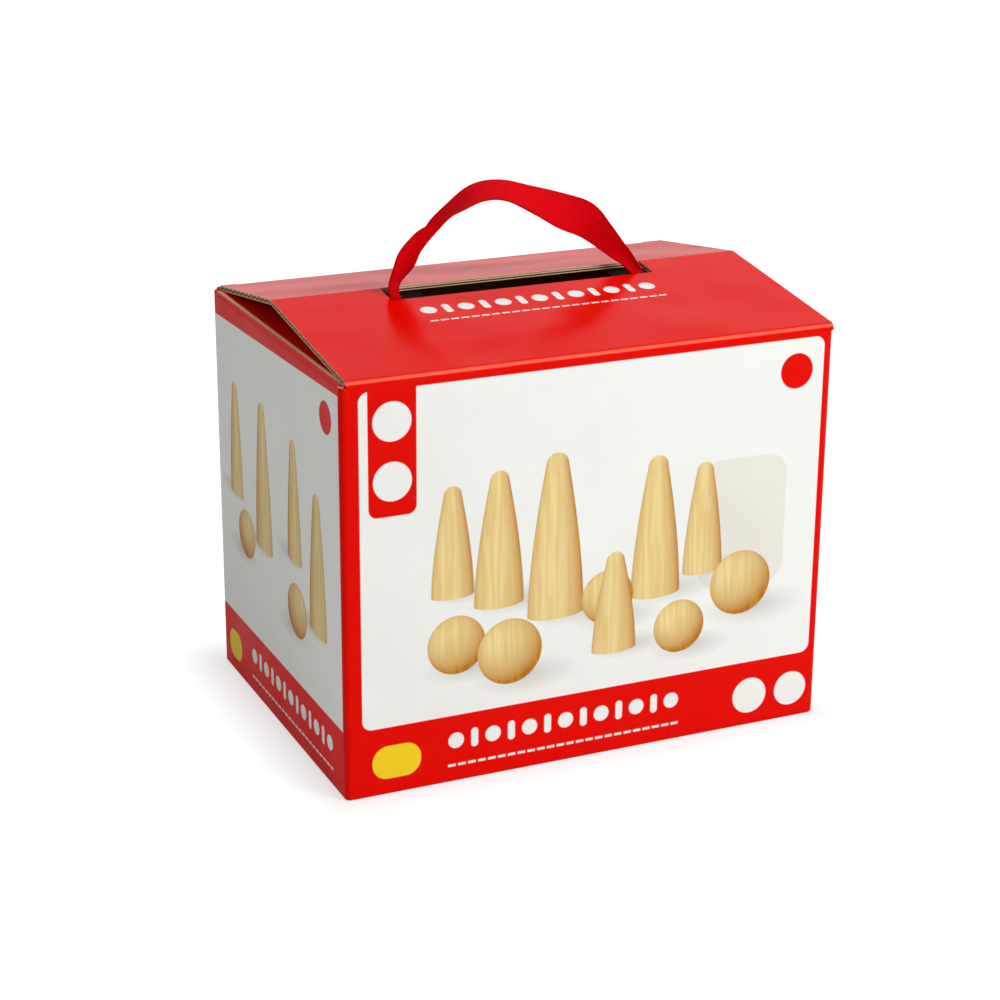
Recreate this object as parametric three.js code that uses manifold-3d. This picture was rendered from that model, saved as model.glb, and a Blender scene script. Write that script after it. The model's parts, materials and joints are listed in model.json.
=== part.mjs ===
// A boxed set of wooden skittles: a printed corrugated carton with a pitched tuck lid and a ribbon
// handle, packed with ten turned pins, two balls and a folded cotton bag.
// Millimetres, +Z up, the front wall faces -Y, the origin is at the middle of the underside.
import * as THREE from 'three';
import { mergeVertices } from 'three/addons/utils/BufferGeometryUtils.js';
import Module from 'manifold-3d';

const wasm = await Module();
wasm.setup();

// Contents
const PIN_HEIGHT = 196;
const PIN_DIAMETER = 46;
const PIN_SPACING = 3.5;
const PIN_COLUMNS = 5;
const PIN_ROWS = 2;
const PIN_SIDES = 20;
const BALL_DIAMETER = 64;
const BALL_SIDES = 24;
const BAG_HEIGHT = 150;
const BAG_THICKNESS = 14;
const BAG_SIDE_CLEARANCE = 2.8;
const STRAP_WIDTH = 25;
const STRAP_THICKNESS = 1.6;
const STRAP_DROP = 118;
const STRAP_INSET = 16;

// Board, and the room left round the contents
const BOARD = 2.5;
const FOLD_RADIUS = 3;
const GAP = 0.3;
const CONTENTS_CLEARANCE = 0.6;
const SIDE_ROOM = 4.5;
const DEPTH_ROOM = 20.3;
const HEAD_ROOM = 3.9;

// The carton's outer sizes follow from its contents
const CARTON_WIDTH = PIN_COLUMNS * PIN_DIAMETER + (PIN_COLUMNS - 1) * PIN_SPACING + 2 * (SIDE_ROOM + BOARD);
const PIN_BLOCK_DEPTH = PIN_ROWS * PIN_DIAMETER + (PIN_ROWS - 1) * PIN_SPACING;
const CARTON_DEPTH = PIN_BLOCK_DEPTH + DEPTH_ROOM + BALL_DIAMETER + 2 * (CONTENTS_CLEARANCE + BOARD);
const WALL_HEIGHT = PIN_HEIGHT + HEAD_ROOM + 3 * BOARD + 2 * GAP;

// Lid
const LID_FRONT_RISE = 0.8;
const RIDGE_RISE = 14;
const LID_REAR_RISE = 1.3;
const RIDGE_SETBACK = 102;
const LID_LEFT_INSET = 1.9;
const LID_RIGHT_INSET = 0.2;
const TUCK_LENGTH = 22;
const TUCK_SIDE_INSET = 9;
const TUCK_CORNER = 8;
const TUCK_LEAN = 3;
const TUCK_CLEARANCE = 0.4;
const DUST_LENGTH = 80;
const DUST_FRONT_START = 4;
const DUST_TAPER_SHARE = 0.5;
const DUST_REAR_CLEARANCE = 12.5;
const DUST_REAR_TAPER = 10;

// Bottom flaps and the glued lap
const INNER_FLAP_LENGTH = 93;
const INNER_FLAP_SETBACK = 5;
const CREASE_FOOT = 4.5;
const CREASE_RISE_RUN = 4.5;
const LAP_WIDTH = 30;
const LAP_END_INSET = 8;

// Handle ribbon and the plates under the lid that hold its gathered feet
const RIBBON_WIDTH = 17;
const RIBBON_THICKNESS = 0.8;
const RIBBON_RISE = 47.8;
const RIBBON_STEPS = 5;
const RIBBON_AHEAD = 0.3;
const PLATE_LENGTH = 26;
const PLATE_WIDTH = 16;
const PLATE_THICKNESS = 2;
const PLATE_CORNER = 3;
const PLATE_AHEAD = 2.2;
const BOSS_LENGTH = 11;
const BOSS_WIDTH = 3;

// The hand slot takes the ribbon's width laid across it at a slant
const SLOT_LENGTH = 143;
const SLOT_OFFSET = 1.8;
const SLOT_CORNER = 0.8;
const SLOT_CLEARANCE = 0.8;
const RIBBON_ACROSS_SHARE = 0.73;
const RIBBON_FOOT_SHARE = 0.36;
const SLOT_WIDTH = RIBBON_WIDTH * RIBBON_ACROSS_SHARE + 2 * SLOT_CLEARANCE;
const FOOT_REACH = SLOT_LENGTH / 2 - RIBBON_WIDTH * RIBBON_FOOT_SHARE - SLOT_CLEARANCE;

const CUT_OVERRUN = 5;
const JOIN_OVERLAP = 0.8;
const FOLD_STEPS = 3;

// Finishes, as plain colours
const finishes = {
  print: { color: 0xd8231c, roughness: 0.3, metalness: 0 },
  kraft: { color: 0xb98f63, roughness: 0.85, metalness: 0 },
  ribbon: { color: 0xc4051b, roughness: 0.6, metalness: 0 },
  plate: { color: 0x1b1b1c, roughness: 0.5, metalness: 0 },
  wood: { color: 0xdcb479, roughness: 0.4, metalness: 0 },
  calico: { color: 0xe9e1cf, roughness: 0.9, metalness: 0 },
};

const carton = new THREE.Group();

function addPiece(name, geometry, finish) {
  const material = new THREE.MeshStandardMaterial(finishes[finish]);
  const mesh = new THREE.Mesh(geometry, material);
  mesh.name = name;
  carton.add(mesh);
  return mesh;
}

// Solids and cuts
function toSolid(geometry) {
  const bare = geometry.clone();
  bare.deleteAttribute('normal');
  bare.deleteAttribute('uv');
  const merged = mergeVertices(bare);
  return new wasm.Manifold(new wasm.Mesh({
    numProp: 3,
    vertProperties: new Float32Array(merged.attributes.position.array),
    triVerts: new Uint32Array(merged.index.array),
  }));
}

function toGeometry(solid) {
  const mesh = solid.getMesh();
  const geometry = new THREE.BufferGeometry();
  geometry.setAttribute('position', new THREE.BufferAttribute(new Float32Array(mesh.vertProperties), 3));
  geometry.setIndex(new THREE.BufferAttribute(new Uint32Array(mesh.triVerts), 1));
  return geometry;
}

const AXES = {
  // The outline's two directions, and the direction of its extrusion
  x: new THREE.Matrix4().makeBasis(
    new THREE.Vector3(0, 1, 0), new THREE.Vector3(0, 0, 1), new THREE.Vector3(1, 0, 0)),
  y: new THREE.Matrix4().makeBasis(
    new THREE.Vector3(1, 0, 0), new THREE.Vector3(0, 0, 1), new THREE.Vector3(0, -1, 0)),
  z: new THREE.Matrix4(),
};

// Extrudes an outline of Vector2 points along one axis, from low to high on that axis
function prism(outline, axis, low, high) {
  const geometry = new THREE.ExtrudeGeometry(new THREE.Shape(outline), {
    depth: high - low,
    bevelEnabled: false,
    steps: 1,
  });
  geometry.applyMatrix4(AXES[axis]);
  const start = { x: [low, 0, 0], y: [0, high, 0], z: [0, 0, low] }[axis];
  geometry.translate(...start);
  return toSolid(geometry);
}

function box(lowX, highX, lowY, highY, lowZ, highZ) {
  const outline = [
    new THREE.Vector2(lowX, lowY), new THREE.Vector2(highX, lowY),
    new THREE.Vector2(highX, highY), new THREE.Vector2(lowX, highY),
  ];
  return prism(outline, 'z', lowZ, highZ);
}

// Folded board: an outer line of crease points, the board's thickness laid to its right.
// A neighbour beyond an end makes that end half of a rounded, mitred fold.
function inwardNormal(from, to) {
  const run = to.clone().sub(from).normalize();
  return new THREE.Vector2(run.y, -run.x);
}

function foldOffset(first, second) {
  return first.clone().add(second).divideScalar(1 + first.dot(second));
}

function halfFold(crease, ownNormal, otherNormal) {
  const centre = crease.clone().addScaledVector(foldOffset(ownNormal, otherNormal), FOLD_RADIUS);
  const middle = ownNormal.clone().add(otherNormal).normalize();
  const points = [];
  for (let step = 0; step <= FOLD_STEPS; step += 1) {
    const direction = middle.clone().lerp(ownNormal, step / FOLD_STEPS).normalize();
    points.push(centre.clone().addScaledVector(direction, -FOLD_RADIUS));
  }
  return points;
}

function foldedBoard(line, before, after) {
  const count = line.length;
  const normals = [];
  for (let index = 0; index < count - 1; index += 1) {
    normals.push(inwardNormal(line[index], line[index + 1]));
  }
  const outer = [];
  const inner = [];
  for (let index = 0; index < count; index += 1) {
    const point = line[index];
    const isStart = index === 0;
    const isEnd = index === count - 1;
    const own = isEnd ? normals[count - 2] : normals[index];
    const neighbour = isStart ? before : isEnd ? after : null;
    if (neighbour) {
      const other = isStart ? inwardNormal(neighbour, point) : inwardNormal(point, neighbour);
      const along = isStart ? line[1].clone().sub(point) : line[count - 2].clone().sub(point);
      along.normalize();
      const middle = own.clone().add(other).normalize();
      const across = Math.abs(along.x * middle.y - along.y * middle.x);
      const trim = GAP / 2 / across;
      const arc = halfFold(point, own, other);
      arc[0].addScaledVector(along, trim);
      outer.push(...(isStart ? arc : arc.reverse()));
      inner.push(point.clone().addScaledVector(foldOffset(own, other), BOARD).addScaledVector(along, trim));
    } else if (isStart || isEnd) {
      outer.push(point.clone());
      inner.push(point.clone().addScaledVector(own, BOARD));
    } else {
      outer.push(point.clone());
      inner.push(point.clone().addScaledVector(foldOffset(normals[index - 1], own), BOARD));
    }
  }
  return [...outer, ...inner.reverse()];
}

const mirrored = (outline) => outline.map((point) => new THREE.Vector2(-point.x, point.y));

// The crease points of the board that wraps over the front, in Y and Z
const halfWidth = CARTON_WIDTH / 2;
const halfDepth = CARTON_DEPTH / 2;
const seam = new THREE.Vector2(-GAP / 2, 0);
const frontFoot = new THREE.Vector2(-halfDepth, 0);
const frontFold = new THREE.Vector2(-halfDepth, WALL_HEIGHT + LID_FRONT_RISE);
const ridge = new THREE.Vector2(-halfDepth + RIDGE_SETBACK, WALL_HEIGHT + RIDGE_RISE);
const rearFold = new THREE.Vector2(halfDepth - BOARD - TUCK_CLEARANCE, WALL_HEIGHT + LID_REAR_RISE);
const tuckTip = new THREE.Vector2(rearFold.x - TUCK_LEAN, rearFold.y - TUCK_LENGTH);

const innerX = halfWidth - BOARD;
const innerY = halfDepth - BOARD;
const lidLeft = -halfWidth + LID_LEFT_INSET;
const lidRight = halfWidth - LID_RIGHT_INSET;

// The front slope and the gap under it, with room above, for trimming what it presses down
function frontSlopeRoom() {
  const lidDrop = BOARD / Math.cos(lidSlope) + GAP;
  const outline = [
    new THREE.Vector2(frontFold.x, frontFold.y - lidDrop),
    new THREE.Vector2(ridge.x, ridge.y - lidDrop),
    new THREE.Vector2(ridge.x, ridge.y),
    new THREE.Vector2(frontFold.x, ridge.y),
  ];
  return prism(outline, 'x', -halfWidth - CUT_OVERRUN, halfWidth + CUT_OVERRUN);
}

// Four walls of one wrapped board
function cartonWalls() {
  const postTop = WALL_HEIGHT - FOLD_RADIUS - GAP;
  const front = foldedBoard([frontFoot, frontFold], seam, ridge);
  const backFoot = new THREE.Vector2(halfDepth, 0);
  const backTop = new THREE.Vector2(halfDepth, WALL_HEIGHT - GAP);
  const backSeam = new THREE.Vector2(GAP / 2, 0);
  const back = foldedBoard([backTop, backFoot], null, backSeam);
  const sideFoot = new THREE.Vector2(-halfWidth, 0);
  const sideTop = new THREE.Vector2(-halfWidth, WALL_HEIGHT);
  const inwardFoot = new THREE.Vector2(0, 0);
  const inwardTop = new THREE.Vector2(0, WALL_HEIGHT);
  const side = foldedBoard([sideFoot, sideTop], inwardFoot, inwardTop);
  const sideReach = halfDepth - FOLD_RADIUS - GAP;
  const frontReach = halfWidth - FOLD_RADIUS - GAP;
  const sides = prism(side, 'y', -sideReach, sideReach)
    .add(prism(mirrored(side), 'y', -sideReach, sideReach))
    .subtract(frontSlopeRoom());
  let walls = prism(front, 'x', -frontReach, frontReach)
    .add(prism(back, 'x', -frontReach, frontReach))
    .add(sides);
  for (const signX of [-1, 1]) {
    for (const signY of [-1, 1]) {
      walls = walls.add(cornerPost(signX, signY, postTop));
    }
  }
  return walls;
}

// A rounded vertical crease, joined to the two walls beside it
function cornerPost(signX, signY, top) {
  const arcX = halfWidth - FOLD_RADIUS;
  const arcY = halfDepth - FOLD_RADIUS;
  const outline = [
    new THREE.Vector2(arcX - JOIN_OVERLAP, innerY),
    new THREE.Vector2(arcX - JOIN_OVERLAP, halfDepth),
  ];
  const arcSteps = 2 * FOLD_STEPS;
  for (let step = 0; step <= arcSteps; step += 1) {
    const angle = (Math.PI / 2) * (1 - step / arcSteps);
    outline.push(new THREE.Vector2(
      arcX + FOLD_RADIUS * Math.cos(angle), arcY + FOLD_RADIUS * Math.sin(angle)));
  }
  outline.push(new THREE.Vector2(halfWidth, arcY - JOIN_OVERLAP));
  outline.push(new THREE.Vector2(innerX, arcY - JOIN_OVERLAP));
  outline.push(new THREE.Vector2(innerX, innerY));
  const placed = outline.map((point) => new THREE.Vector2(point.x * signX, point.y * signY));
  return prism(placed, 'z', FOLD_RADIUS + GAP, top);
}

// Bottom flaps: the outer pair meets on the middle line, the inner pair lies on it
function outerFlap(sign) {
  const profile = foldedBoard([seam, frontFoot], null, frontFold);
  const shaped = sign < 0 ? profile : mirrored(profile);
  const wide = halfWidth - FOLD_RADIUS - JOIN_OVERLAP - GAP;
  const narrow = halfWidth - CREASE_FOOT - CREASE_RISE_RUN - GAP;
  const shoulder = halfDepth - INNER_FLAP_SETBACK;
  const plan = [
    new THREE.Vector2(-narrow, 0), new THREE.Vector2(narrow, 0),
    new THREE.Vector2(narrow, shoulder), new THREE.Vector2(wide, shoulder),
    new THREE.Vector2(wide, halfDepth + CUT_OVERRUN), new THREE.Vector2(-wide, halfDepth + CUT_OVERRUN),
    new THREE.Vector2(-wide, shoulder), new THREE.Vector2(-narrow, shoulder),
  ].map((point) => new THREE.Vector2(point.x, point.y * sign));
  return prism(shaped, 'x', -halfWidth, halfWidth)
    .intersect(prism(plan, 'z', -CUT_OVERRUN, BOARD + CUT_OVERRUN));
}

function innerFlap(sign) {
  const lift = BOARD + GAP;
  const crease = new THREE.Vector2(-halfWidth, 0);
  const foot = new THREE.Vector2(-halfWidth + CREASE_FOOT, 0);
  const shelf = new THREE.Vector2(foot.x + CREASE_RISE_RUN, lift);
  const tip = new THREE.Vector2(-halfWidth + INNER_FLAP_LENGTH, lift);
  const wallAbove = new THREE.Vector2(-halfWidth, WALL_HEIGHT);
  const profile = foldedBoard([tip, shelf, foot, crease], null, wallAbove);
  const reach = halfDepth - INNER_FLAP_SETBACK - GAP;
  return prism(sign < 0 ? profile : mirrored(profile), 'y', -reach, reach);
}

// The carton maker's lap, glued inside the right wall at the back
function glueLap() {
  const outer = innerX - GAP;
  const back = innerY - GAP;
  const low = 2 * BOARD + LAP_END_INSET;
  return box(outer - BOARD, outer, back - LAP_WIDTH, back, low, WALL_HEIGHT - BOARD - LAP_END_INSET);
}

// Lid panels
function roundedSlot() {
  const left = SLOT_OFFSET - SLOT_LENGTH / 2;
  const right = SLOT_OFFSET + SLOT_LENGTH / 2;
  const front = ridge.x - SLOT_WIDTH;
  const outline = new THREE.Shape();
  outline.moveTo(left, ridge.x + CUT_OVERRUN);
  outline.lineTo(left, front + SLOT_CORNER);
  outline.absarc(left + SLOT_CORNER, front + SLOT_CORNER, SLOT_CORNER, Math.PI, 1.5 * Math.PI, false);
  outline.absarc(right - SLOT_CORNER, front + SLOT_CORNER, SLOT_CORNER, 1.5 * Math.PI, 2 * Math.PI, false);
  outline.lineTo(right, ridge.x + CUT_OVERRUN);
  const points = outline.getPoints(FOLD_STEPS);
  return prism(points, 'z', WALL_HEIGHT, ridge.y + CUT_OVERRUN);
}

function frontRoof() {
  const profile = foldedBoard([frontFold, ridge], frontFoot, rearFold);
  return prism(profile, 'x', lidLeft, lidRight).subtract(roundedSlot());
}

function rearRoof() {
  const profile = foldedBoard([ridge, rearFold], frontFold, tuckTip);
  return prism(profile, 'x', lidLeft, lidRight);
}

function tuckFlap() {
  const profile = foldedBoard([rearFold, tuckTip], ridge, null);
  const half = innerX - TUCK_SIDE_INSET;
  const top = rearFold.y + CUT_OVERRUN;
  const plan = [
    new THREE.Vector2(-half, top), new THREE.Vector2(half, top),
    new THREE.Vector2(half, tuckTip.y + TUCK_CORNER),
    new THREE.Vector2(half - TUCK_CORNER, tuckTip.y - GAP),
    new THREE.Vector2(-half + TUCK_CORNER, tuckTip.y - GAP),
    new THREE.Vector2(-half, tuckTip.y + TUCK_CORNER),
  ];
  return prism(profile, 'x', -half, half)
    .intersect(prism(plan, 'y', tuckTip.x - BOARD - CUT_OVERRUN, rearFold.x + CUT_OVERRUN));
}

// Dust flap: creased on a side wall's top. Its front edge is cut back so that it swings up under the lid,
// and its front corner is pressed thin where the lid comes down to the front fold.
function dustFlap(sign) {
  const crease = new THREE.Vector2(-halfWidth, WALL_HEIGHT);
  const tip = new THREE.Vector2(-halfWidth + DUST_LENGTH, WALL_HEIGHT);
  const wallBelow = new THREE.Vector2(-halfWidth, 0);
  const profile = foldedBoard([crease, tip], wallBelow, null);
  const front = -halfDepth + DUST_FRONT_START;
  const back = innerY - DUST_REAR_CLEARANCE;
  const plan = [
    new THREE.Vector2(-halfWidth - CUT_OVERRUN, front),
    new THREE.Vector2(-halfWidth + BOARD, front),
    new THREE.Vector2(-halfWidth + DUST_LENGTH, front + (DUST_LENGTH - BOARD) * DUST_TAPER_SHARE),
    new THREE.Vector2(-halfWidth + DUST_LENGTH, back - DUST_REAR_TAPER),
    new THREE.Vector2(-halfWidth + DUST_LENGTH - DUST_REAR_TAPER, back),
    new THREE.Vector2(-halfWidth - CUT_OVERRUN, back),
  ];
  const low = WALL_HEIGHT - BOARD - CUT_OVERRUN;
  const placed = sign < 0 ? plan : mirrored(plan);
  return prism(sign < 0 ? profile : mirrored(profile), 'y', front, back)
    .intersect(prism(placed, 'z', low, WALL_HEIGHT + CUT_OVERRUN))
    .subtract(frontSlopeRoom());
}

// The ribbon's route as shares: X of the feet's reach, height above the middle of the lid board of the
// ribbon's rise, turn of its width in degrees, width, and level. A turn of 0 lays the width front to
// back, 90 stands it along the loop. A level share of 1 keeps the width parallel to the board.
const slotY = ridge.x - SLOT_WIDTH / 2;
const ribbonY = slotY - RIBBON_AHEAD;
const lidSlope = Math.atan2(ridge.y - frontFold.y, RIDGE_SETBACK);
const slotTop = ridge.y - (ridge.x - ribbonY) * Math.tan(lidSlope);
const pivotZ = slotTop - BOARD / 2 / Math.cos(lidSlope);
const ribbonRouteShares = [
  [-1, -0.0105, -90, 0.45, 1],
  [-1.002, 0.0126, -74, 0.66, 1],
  [-1.006, 0.0397, -48, 0.95, 1],
  [-1.009, 0.1046, -46, 1, 0.3],
  [-0.997, 0.2092, -46, 1, 0],
  [-0.938, 0.3703, -53, 1, 0],
  [-0.833, 0.523, -47, 1, 0],
  [-0.717, 0.6611, -18, 1, 0],
  [-0.562, 0.8117, -2, 1, 0],
  [-0.341, 0.9812, 15, 1, 0],
  [-0.121, 1, 26, 1, 0],
  [0.146, 0.8577, 42, 1, 0],
  [0.375, 0.7238, 68, 1, 0],
  [0.551, 0.613, 93, 1, 0],
  [0.692, 0.4582, 116, 1, 0],
  [0.831, 0.2636, 136, 1, 0],
  [0.924, 0.1381, 135, 1, 0.7],
  [0.981, 0.0397, 132, 0.95, 1],
  [0.997, 0.0126, 106, 0.66, 1],
  [1, -0.0105, 90, 0.45, 1],
];

function ribbonStations() {
  const centre = new THREE.CatmullRomCurve3(
    ribbonRouteShares.map(([reachShare, riseShare]) => new THREE.Vector3(
      SLOT_OFFSET + FOOT_REACH * reachShare, ribbonY, pivotZ + RIBBON_RISE * riseShare)),
    false, 'centripetal');
  const turns = new THREE.CatmullRomCurve3(
    ribbonRouteShares.map(([, , degrees, share, level]) => new THREE.Vector3(degrees, share, level)),
    false, 'catmullrom', 0.5);
  const made = [];
  const spans = ribbonRouteShares.length - 1;
  for (let step = 0; step <= spans * RIBBON_STEPS; step += 1) {
    const share = step / (spans * RIBBON_STEPS);
    const along = centre.getTangent(share);
    const point = centre.getPoint(share);
    const turn = turns.getPoint(share);
    const level = new THREE.Vector3(Math.sign(point.x - SLOT_OFFSET), 0, 0);
    const outward = new THREE.Vector3(-along.z, 0, along.x).normalize().lerp(level, turn.z).normalize();
    const angle = THREE.MathUtils.degToRad(turn.x);
    const across = new THREE.Vector3(0, Math.cos(angle), 0).addScaledVector(outward, Math.sin(angle));
    made.push({ point, along, across, share: Math.min(turn.y, 1) });
  }
  return made;
}

// A flat strap through stations, as one closed body
function strap(stations, width, thickness) {
  const positions = [];
  for (const { point, along, across, share } of stations) {
    const face = new THREE.Vector3().crossVectors(along, across).normalize();
    for (const [side, rise] of [[-1, -1], [1, -1], [1, 1], [-1, 1]]) {
      positions.push(point.clone()
        .addScaledVector(across, (side * width * share) / 2)
        .addScaledVector(face, (rise * thickness) / 2));
    }
  }
  const index = [];
  const corners = 4;
  for (let ring = 0; ring < stations.length - 1; ring += 1) {
    for (let corner = 0; corner < corners; corner += 1) {
      const next = (corner + 1) % corners;
      const low = ring * corners;
      const high = low + corners;
      index.push(low + corner, low + next, high + next, low + corner, high + next, high + corner);
    }
  }
  const end = (stations.length - 1) * corners;
  index.push(0, 2, 1, 0, 3, 2, end, end + 1, end + 2, end, end + 2, end + 3);
  const geometry = new THREE.BufferGeometry().setFromPoints(positions);
  geometry.setIndex(index);
  return geometry;
}

// A plate under the slot, with a low boss that reaches up to one foot of the ribbon
function anchorPlate(foot) {
  const shape = new THREE.Shape();
  const halfLength = PLATE_LENGTH / 2 - PLATE_CORNER;
  const halfBreadth = PLATE_WIDTH / 2 - PLATE_CORNER;
  const corners = [[halfLength, halfBreadth], [-halfLength, halfBreadth],
    [-halfLength, -halfBreadth], [halfLength, -halfBreadth]];
  corners.forEach(([x, y], quarter) => {
    const start = (quarter * Math.PI) / 2;
    shape.absarc(x, y, PLATE_CORNER, start, start + Math.PI / 2, false);
  });
  const geometry = new THREE.ExtrudeGeometry(shape, {
    depth: PLATE_THICKNESS, bevelEnabled: false, curveSegments: FOLD_STEPS,
  });
  const plateTop = -BOARD / 2 - GAP;
  geometry.translate(0, -PLATE_AHEAD, plateTop - PLATE_THICKNESS);
  const boss = box(-BOSS_LENGTH / 2, BOSS_LENGTH / 2, -BOSS_WIDTH / 2, BOSS_WIDTH / 2,
    plateTop - PLATE_THICKNESS / 2, foot.z - pivotZ - GAP);
  const plate = toGeometry(toSolid(geometry).add(boss));
  plate.rotateX(lidSlope);
  plate.translate(foot.x, ribbonY, pivotZ);
  return plate;
}

// Turned pin: shares of its height and of its greatest radius, base to crown
const pinHeightShares = [
  0, 0, 0.015, 0.06, 0.14, 0.24, 0.34, 0.44, 0.54, 0.63, 0.71, 0.78, 0.84, 0.9, 0.95, 0.985, 1,
];
const pinRadiusShares = [
  0, 0.6, 0.66, 0.78, 0.92, 1, 0.985, 0.88, 0.7, 0.55, 0.49, 0.52, 0.62, 0.66, 0.58, 0.36, 0,
];
const PIN_FOOT_POINTS = 3;

function turnedPin() {
  const profile = pinHeightShares.map((share, index) => new THREE.Vector2(
    (PIN_DIAMETER / 2) * pinRadiusShares[index], PIN_HEIGHT * share));
  const geometry = new THREE.LatheGeometry(profile, PIN_SIDES);
  geometry.rotateX(Math.PI / 2);
  return toGeometry(toSolid(geometry));
}

function turnedBall() {
  const radius = BALL_DIAMETER / 2;
  const profile = [];
  const steps = BALL_SIDES / 2;
  for (let step = 0; step <= steps; step += 1) {
    const angle = Math.PI * (step / steps);
    profile.push(new THREE.Vector2(radius * Math.sin(angle), -radius * Math.cos(angle)));
  }
  profile[0].x = 0;
  profile[steps].x = 0;
  const geometry = new THREE.LatheGeometry(profile, BALL_SIDES);
  geometry.rotateX(Math.PI / 2);
  return toGeometry(toSolid(geometry));
}

// A rounded pad for the folded bag, standing on edge
function paddedBlock(width, thickness, height) {
  const round = thickness / 2;
  const half = width / 2 - round;
  const shape = new THREE.Shape();
  shape.absarc(half, 0, round, -Math.PI / 2, Math.PI / 2, false);
  shape.absarc(-half, 0, round, Math.PI / 2, 1.5 * Math.PI, false);
  return new THREE.ExtrudeGeometry(shape, {
    depth: height, bevelEnabled: false, curveSegments: 2 * FOLD_STEPS,
  });
}

// Place the carton
addPiece('carton_walls', toGeometry(cartonWalls()), 'print');
addPiece('glue_lap', toGeometry(glueLap()), 'kraft');
addPiece('front_bottom_flap', toGeometry(outerFlap(-1)), 'print');
addPiece('back_bottom_flap', toGeometry(outerFlap(1)), 'print');
addPiece('left_bottom_flap', toGeometry(innerFlap(-1)), 'kraft');
addPiece('right_bottom_flap', toGeometry(innerFlap(1)), 'kraft');
addPiece('front_roof_panel', toGeometry(frontRoof()), 'print');
addPiece('rear_roof_panel', toGeometry(rearRoof()), 'print');
addPiece('tuck_flap', toGeometry(tuckFlap()), 'print');
addPiece('left_dust_flap', toGeometry(dustFlap(-1)), 'print');
addPiece('right_dust_flap', toGeometry(dustFlap(1)), 'print');

// Place the handle
const stations = ribbonStations();
addPiece('handle_ribbon', strap(stations, RIBBON_WIDTH, RIBBON_THICKNESS), 'ribbon');
addPiece('left_anchor_plate', anchorPlate(stations[0].point), 'plate');
addPiece('right_anchor_plate', anchorPlate(stations[stations.length - 1].point), 'plate');

// Place the contents
const outerFloor = BOARD + GAP;
const innerFloor = 2 * BOARD + 2 * GAP;
const innerFlapTip = halfWidth - INNER_FLAP_LENGTH;
const pinPitch = PIN_DIAMETER + PIN_SPACING;
const pinBase = (PIN_DIAMETER / 2) * Math.max(...pinRadiusShares.slice(0, PIN_FOOT_POINTS));
for (let row = 0; row < PIN_ROWS; row += 1) {
  for (let column = 0; column < PIN_COLUMNS; column += 1) {
    const number = row * PIN_COLUMNS + column + 1;
    const pin = addPiece(`pin_${number}`, turnedPin(), 'wood');
    const x = (column - (PIN_COLUMNS - 1) / 2) * pinPitch;
    const y = -innerY + CONTENTS_CLEARANCE + PIN_DIAMETER / 2 + row * pinPitch;
    const onInnerFlap = Math.abs(x) + pinBase > innerFlapTip;
    pin.position.set(x, y, onInnerFlap ? innerFloor : outerFloor);
  }
}

const lapFace = innerX - 2 * GAP - BOARD;
const ballY = innerY - CONTENTS_CLEARANCE - BALL_DIAMETER / 2;
const ballReach = lapFace - CONTENTS_CLEARANCE - BALL_DIAMETER / 2;
const ballSides = { ball_1: -1, ball_2: 1 };
for (const [name, sign] of Object.entries(ballSides)) {
  const ball = addPiece(name, turnedBall(), 'wood');
  ball.position.set(sign * ballReach, ballY, innerFloor + BALL_DIAMETER / 2);
}

const bagWidth = 2 * (ballReach - BALL_DIAMETER / 2 - BAG_SIDE_CLEARANCE);
const bag = addPiece('tote_bag', paddedBlock(bagWidth, BAG_THICKNESS, BAG_HEIGHT), 'calico');
bag.position.set(0, innerY - GAP - BAG_THICKNESS / 2, innerFloor);
const strapY = innerY - 2 * GAP - BAG_THICKNESS - STRAP_THICKNESS / 2;
const strapSides = { left_bag_strap: -1, right_bag_strap: 1 };
for (const [name, sign] of Object.entries(strapSides)) {
  const tape = addPiece(name, paddedBlock(STRAP_WIDTH, STRAP_THICKNESS, STRAP_DROP), 'calico');
  const offset = bagWidth / 2 - STRAP_INSET - STRAP_WIDTH / 2;
  tape.position.set(sign * offset, strapY, innerFloor + BAG_HEIGHT - STRAP_DROP);
}

export default carton;
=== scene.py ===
"""A boxed set of wooden skittles: printed corrugated carton, woven ribbon handle, turned pins and
balls, and a folded calico bag. Metres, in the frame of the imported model."""

import json
import math
from contextlib import contextmanager

import bmesh
import bpy
import numpy as np
from mathutils import Euler, Matrix, Vector

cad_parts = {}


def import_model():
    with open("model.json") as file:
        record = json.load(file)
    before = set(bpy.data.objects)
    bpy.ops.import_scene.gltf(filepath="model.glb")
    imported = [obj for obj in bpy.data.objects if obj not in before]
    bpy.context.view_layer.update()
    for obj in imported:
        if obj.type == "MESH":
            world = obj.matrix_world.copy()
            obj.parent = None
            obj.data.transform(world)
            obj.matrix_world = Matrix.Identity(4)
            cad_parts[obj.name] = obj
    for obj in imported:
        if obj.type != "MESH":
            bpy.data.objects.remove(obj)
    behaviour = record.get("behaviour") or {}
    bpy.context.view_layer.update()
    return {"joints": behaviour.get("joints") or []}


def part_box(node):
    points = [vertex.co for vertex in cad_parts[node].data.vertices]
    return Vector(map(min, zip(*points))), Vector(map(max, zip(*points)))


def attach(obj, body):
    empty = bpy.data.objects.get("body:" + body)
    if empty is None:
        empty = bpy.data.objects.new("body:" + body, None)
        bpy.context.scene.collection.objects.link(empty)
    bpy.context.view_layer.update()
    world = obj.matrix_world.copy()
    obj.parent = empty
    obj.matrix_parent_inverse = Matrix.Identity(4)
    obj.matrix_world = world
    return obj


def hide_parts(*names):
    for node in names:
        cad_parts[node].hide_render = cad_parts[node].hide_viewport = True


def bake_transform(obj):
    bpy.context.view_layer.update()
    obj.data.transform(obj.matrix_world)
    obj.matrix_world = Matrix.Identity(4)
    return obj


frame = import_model()

MM = 0.001

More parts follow.
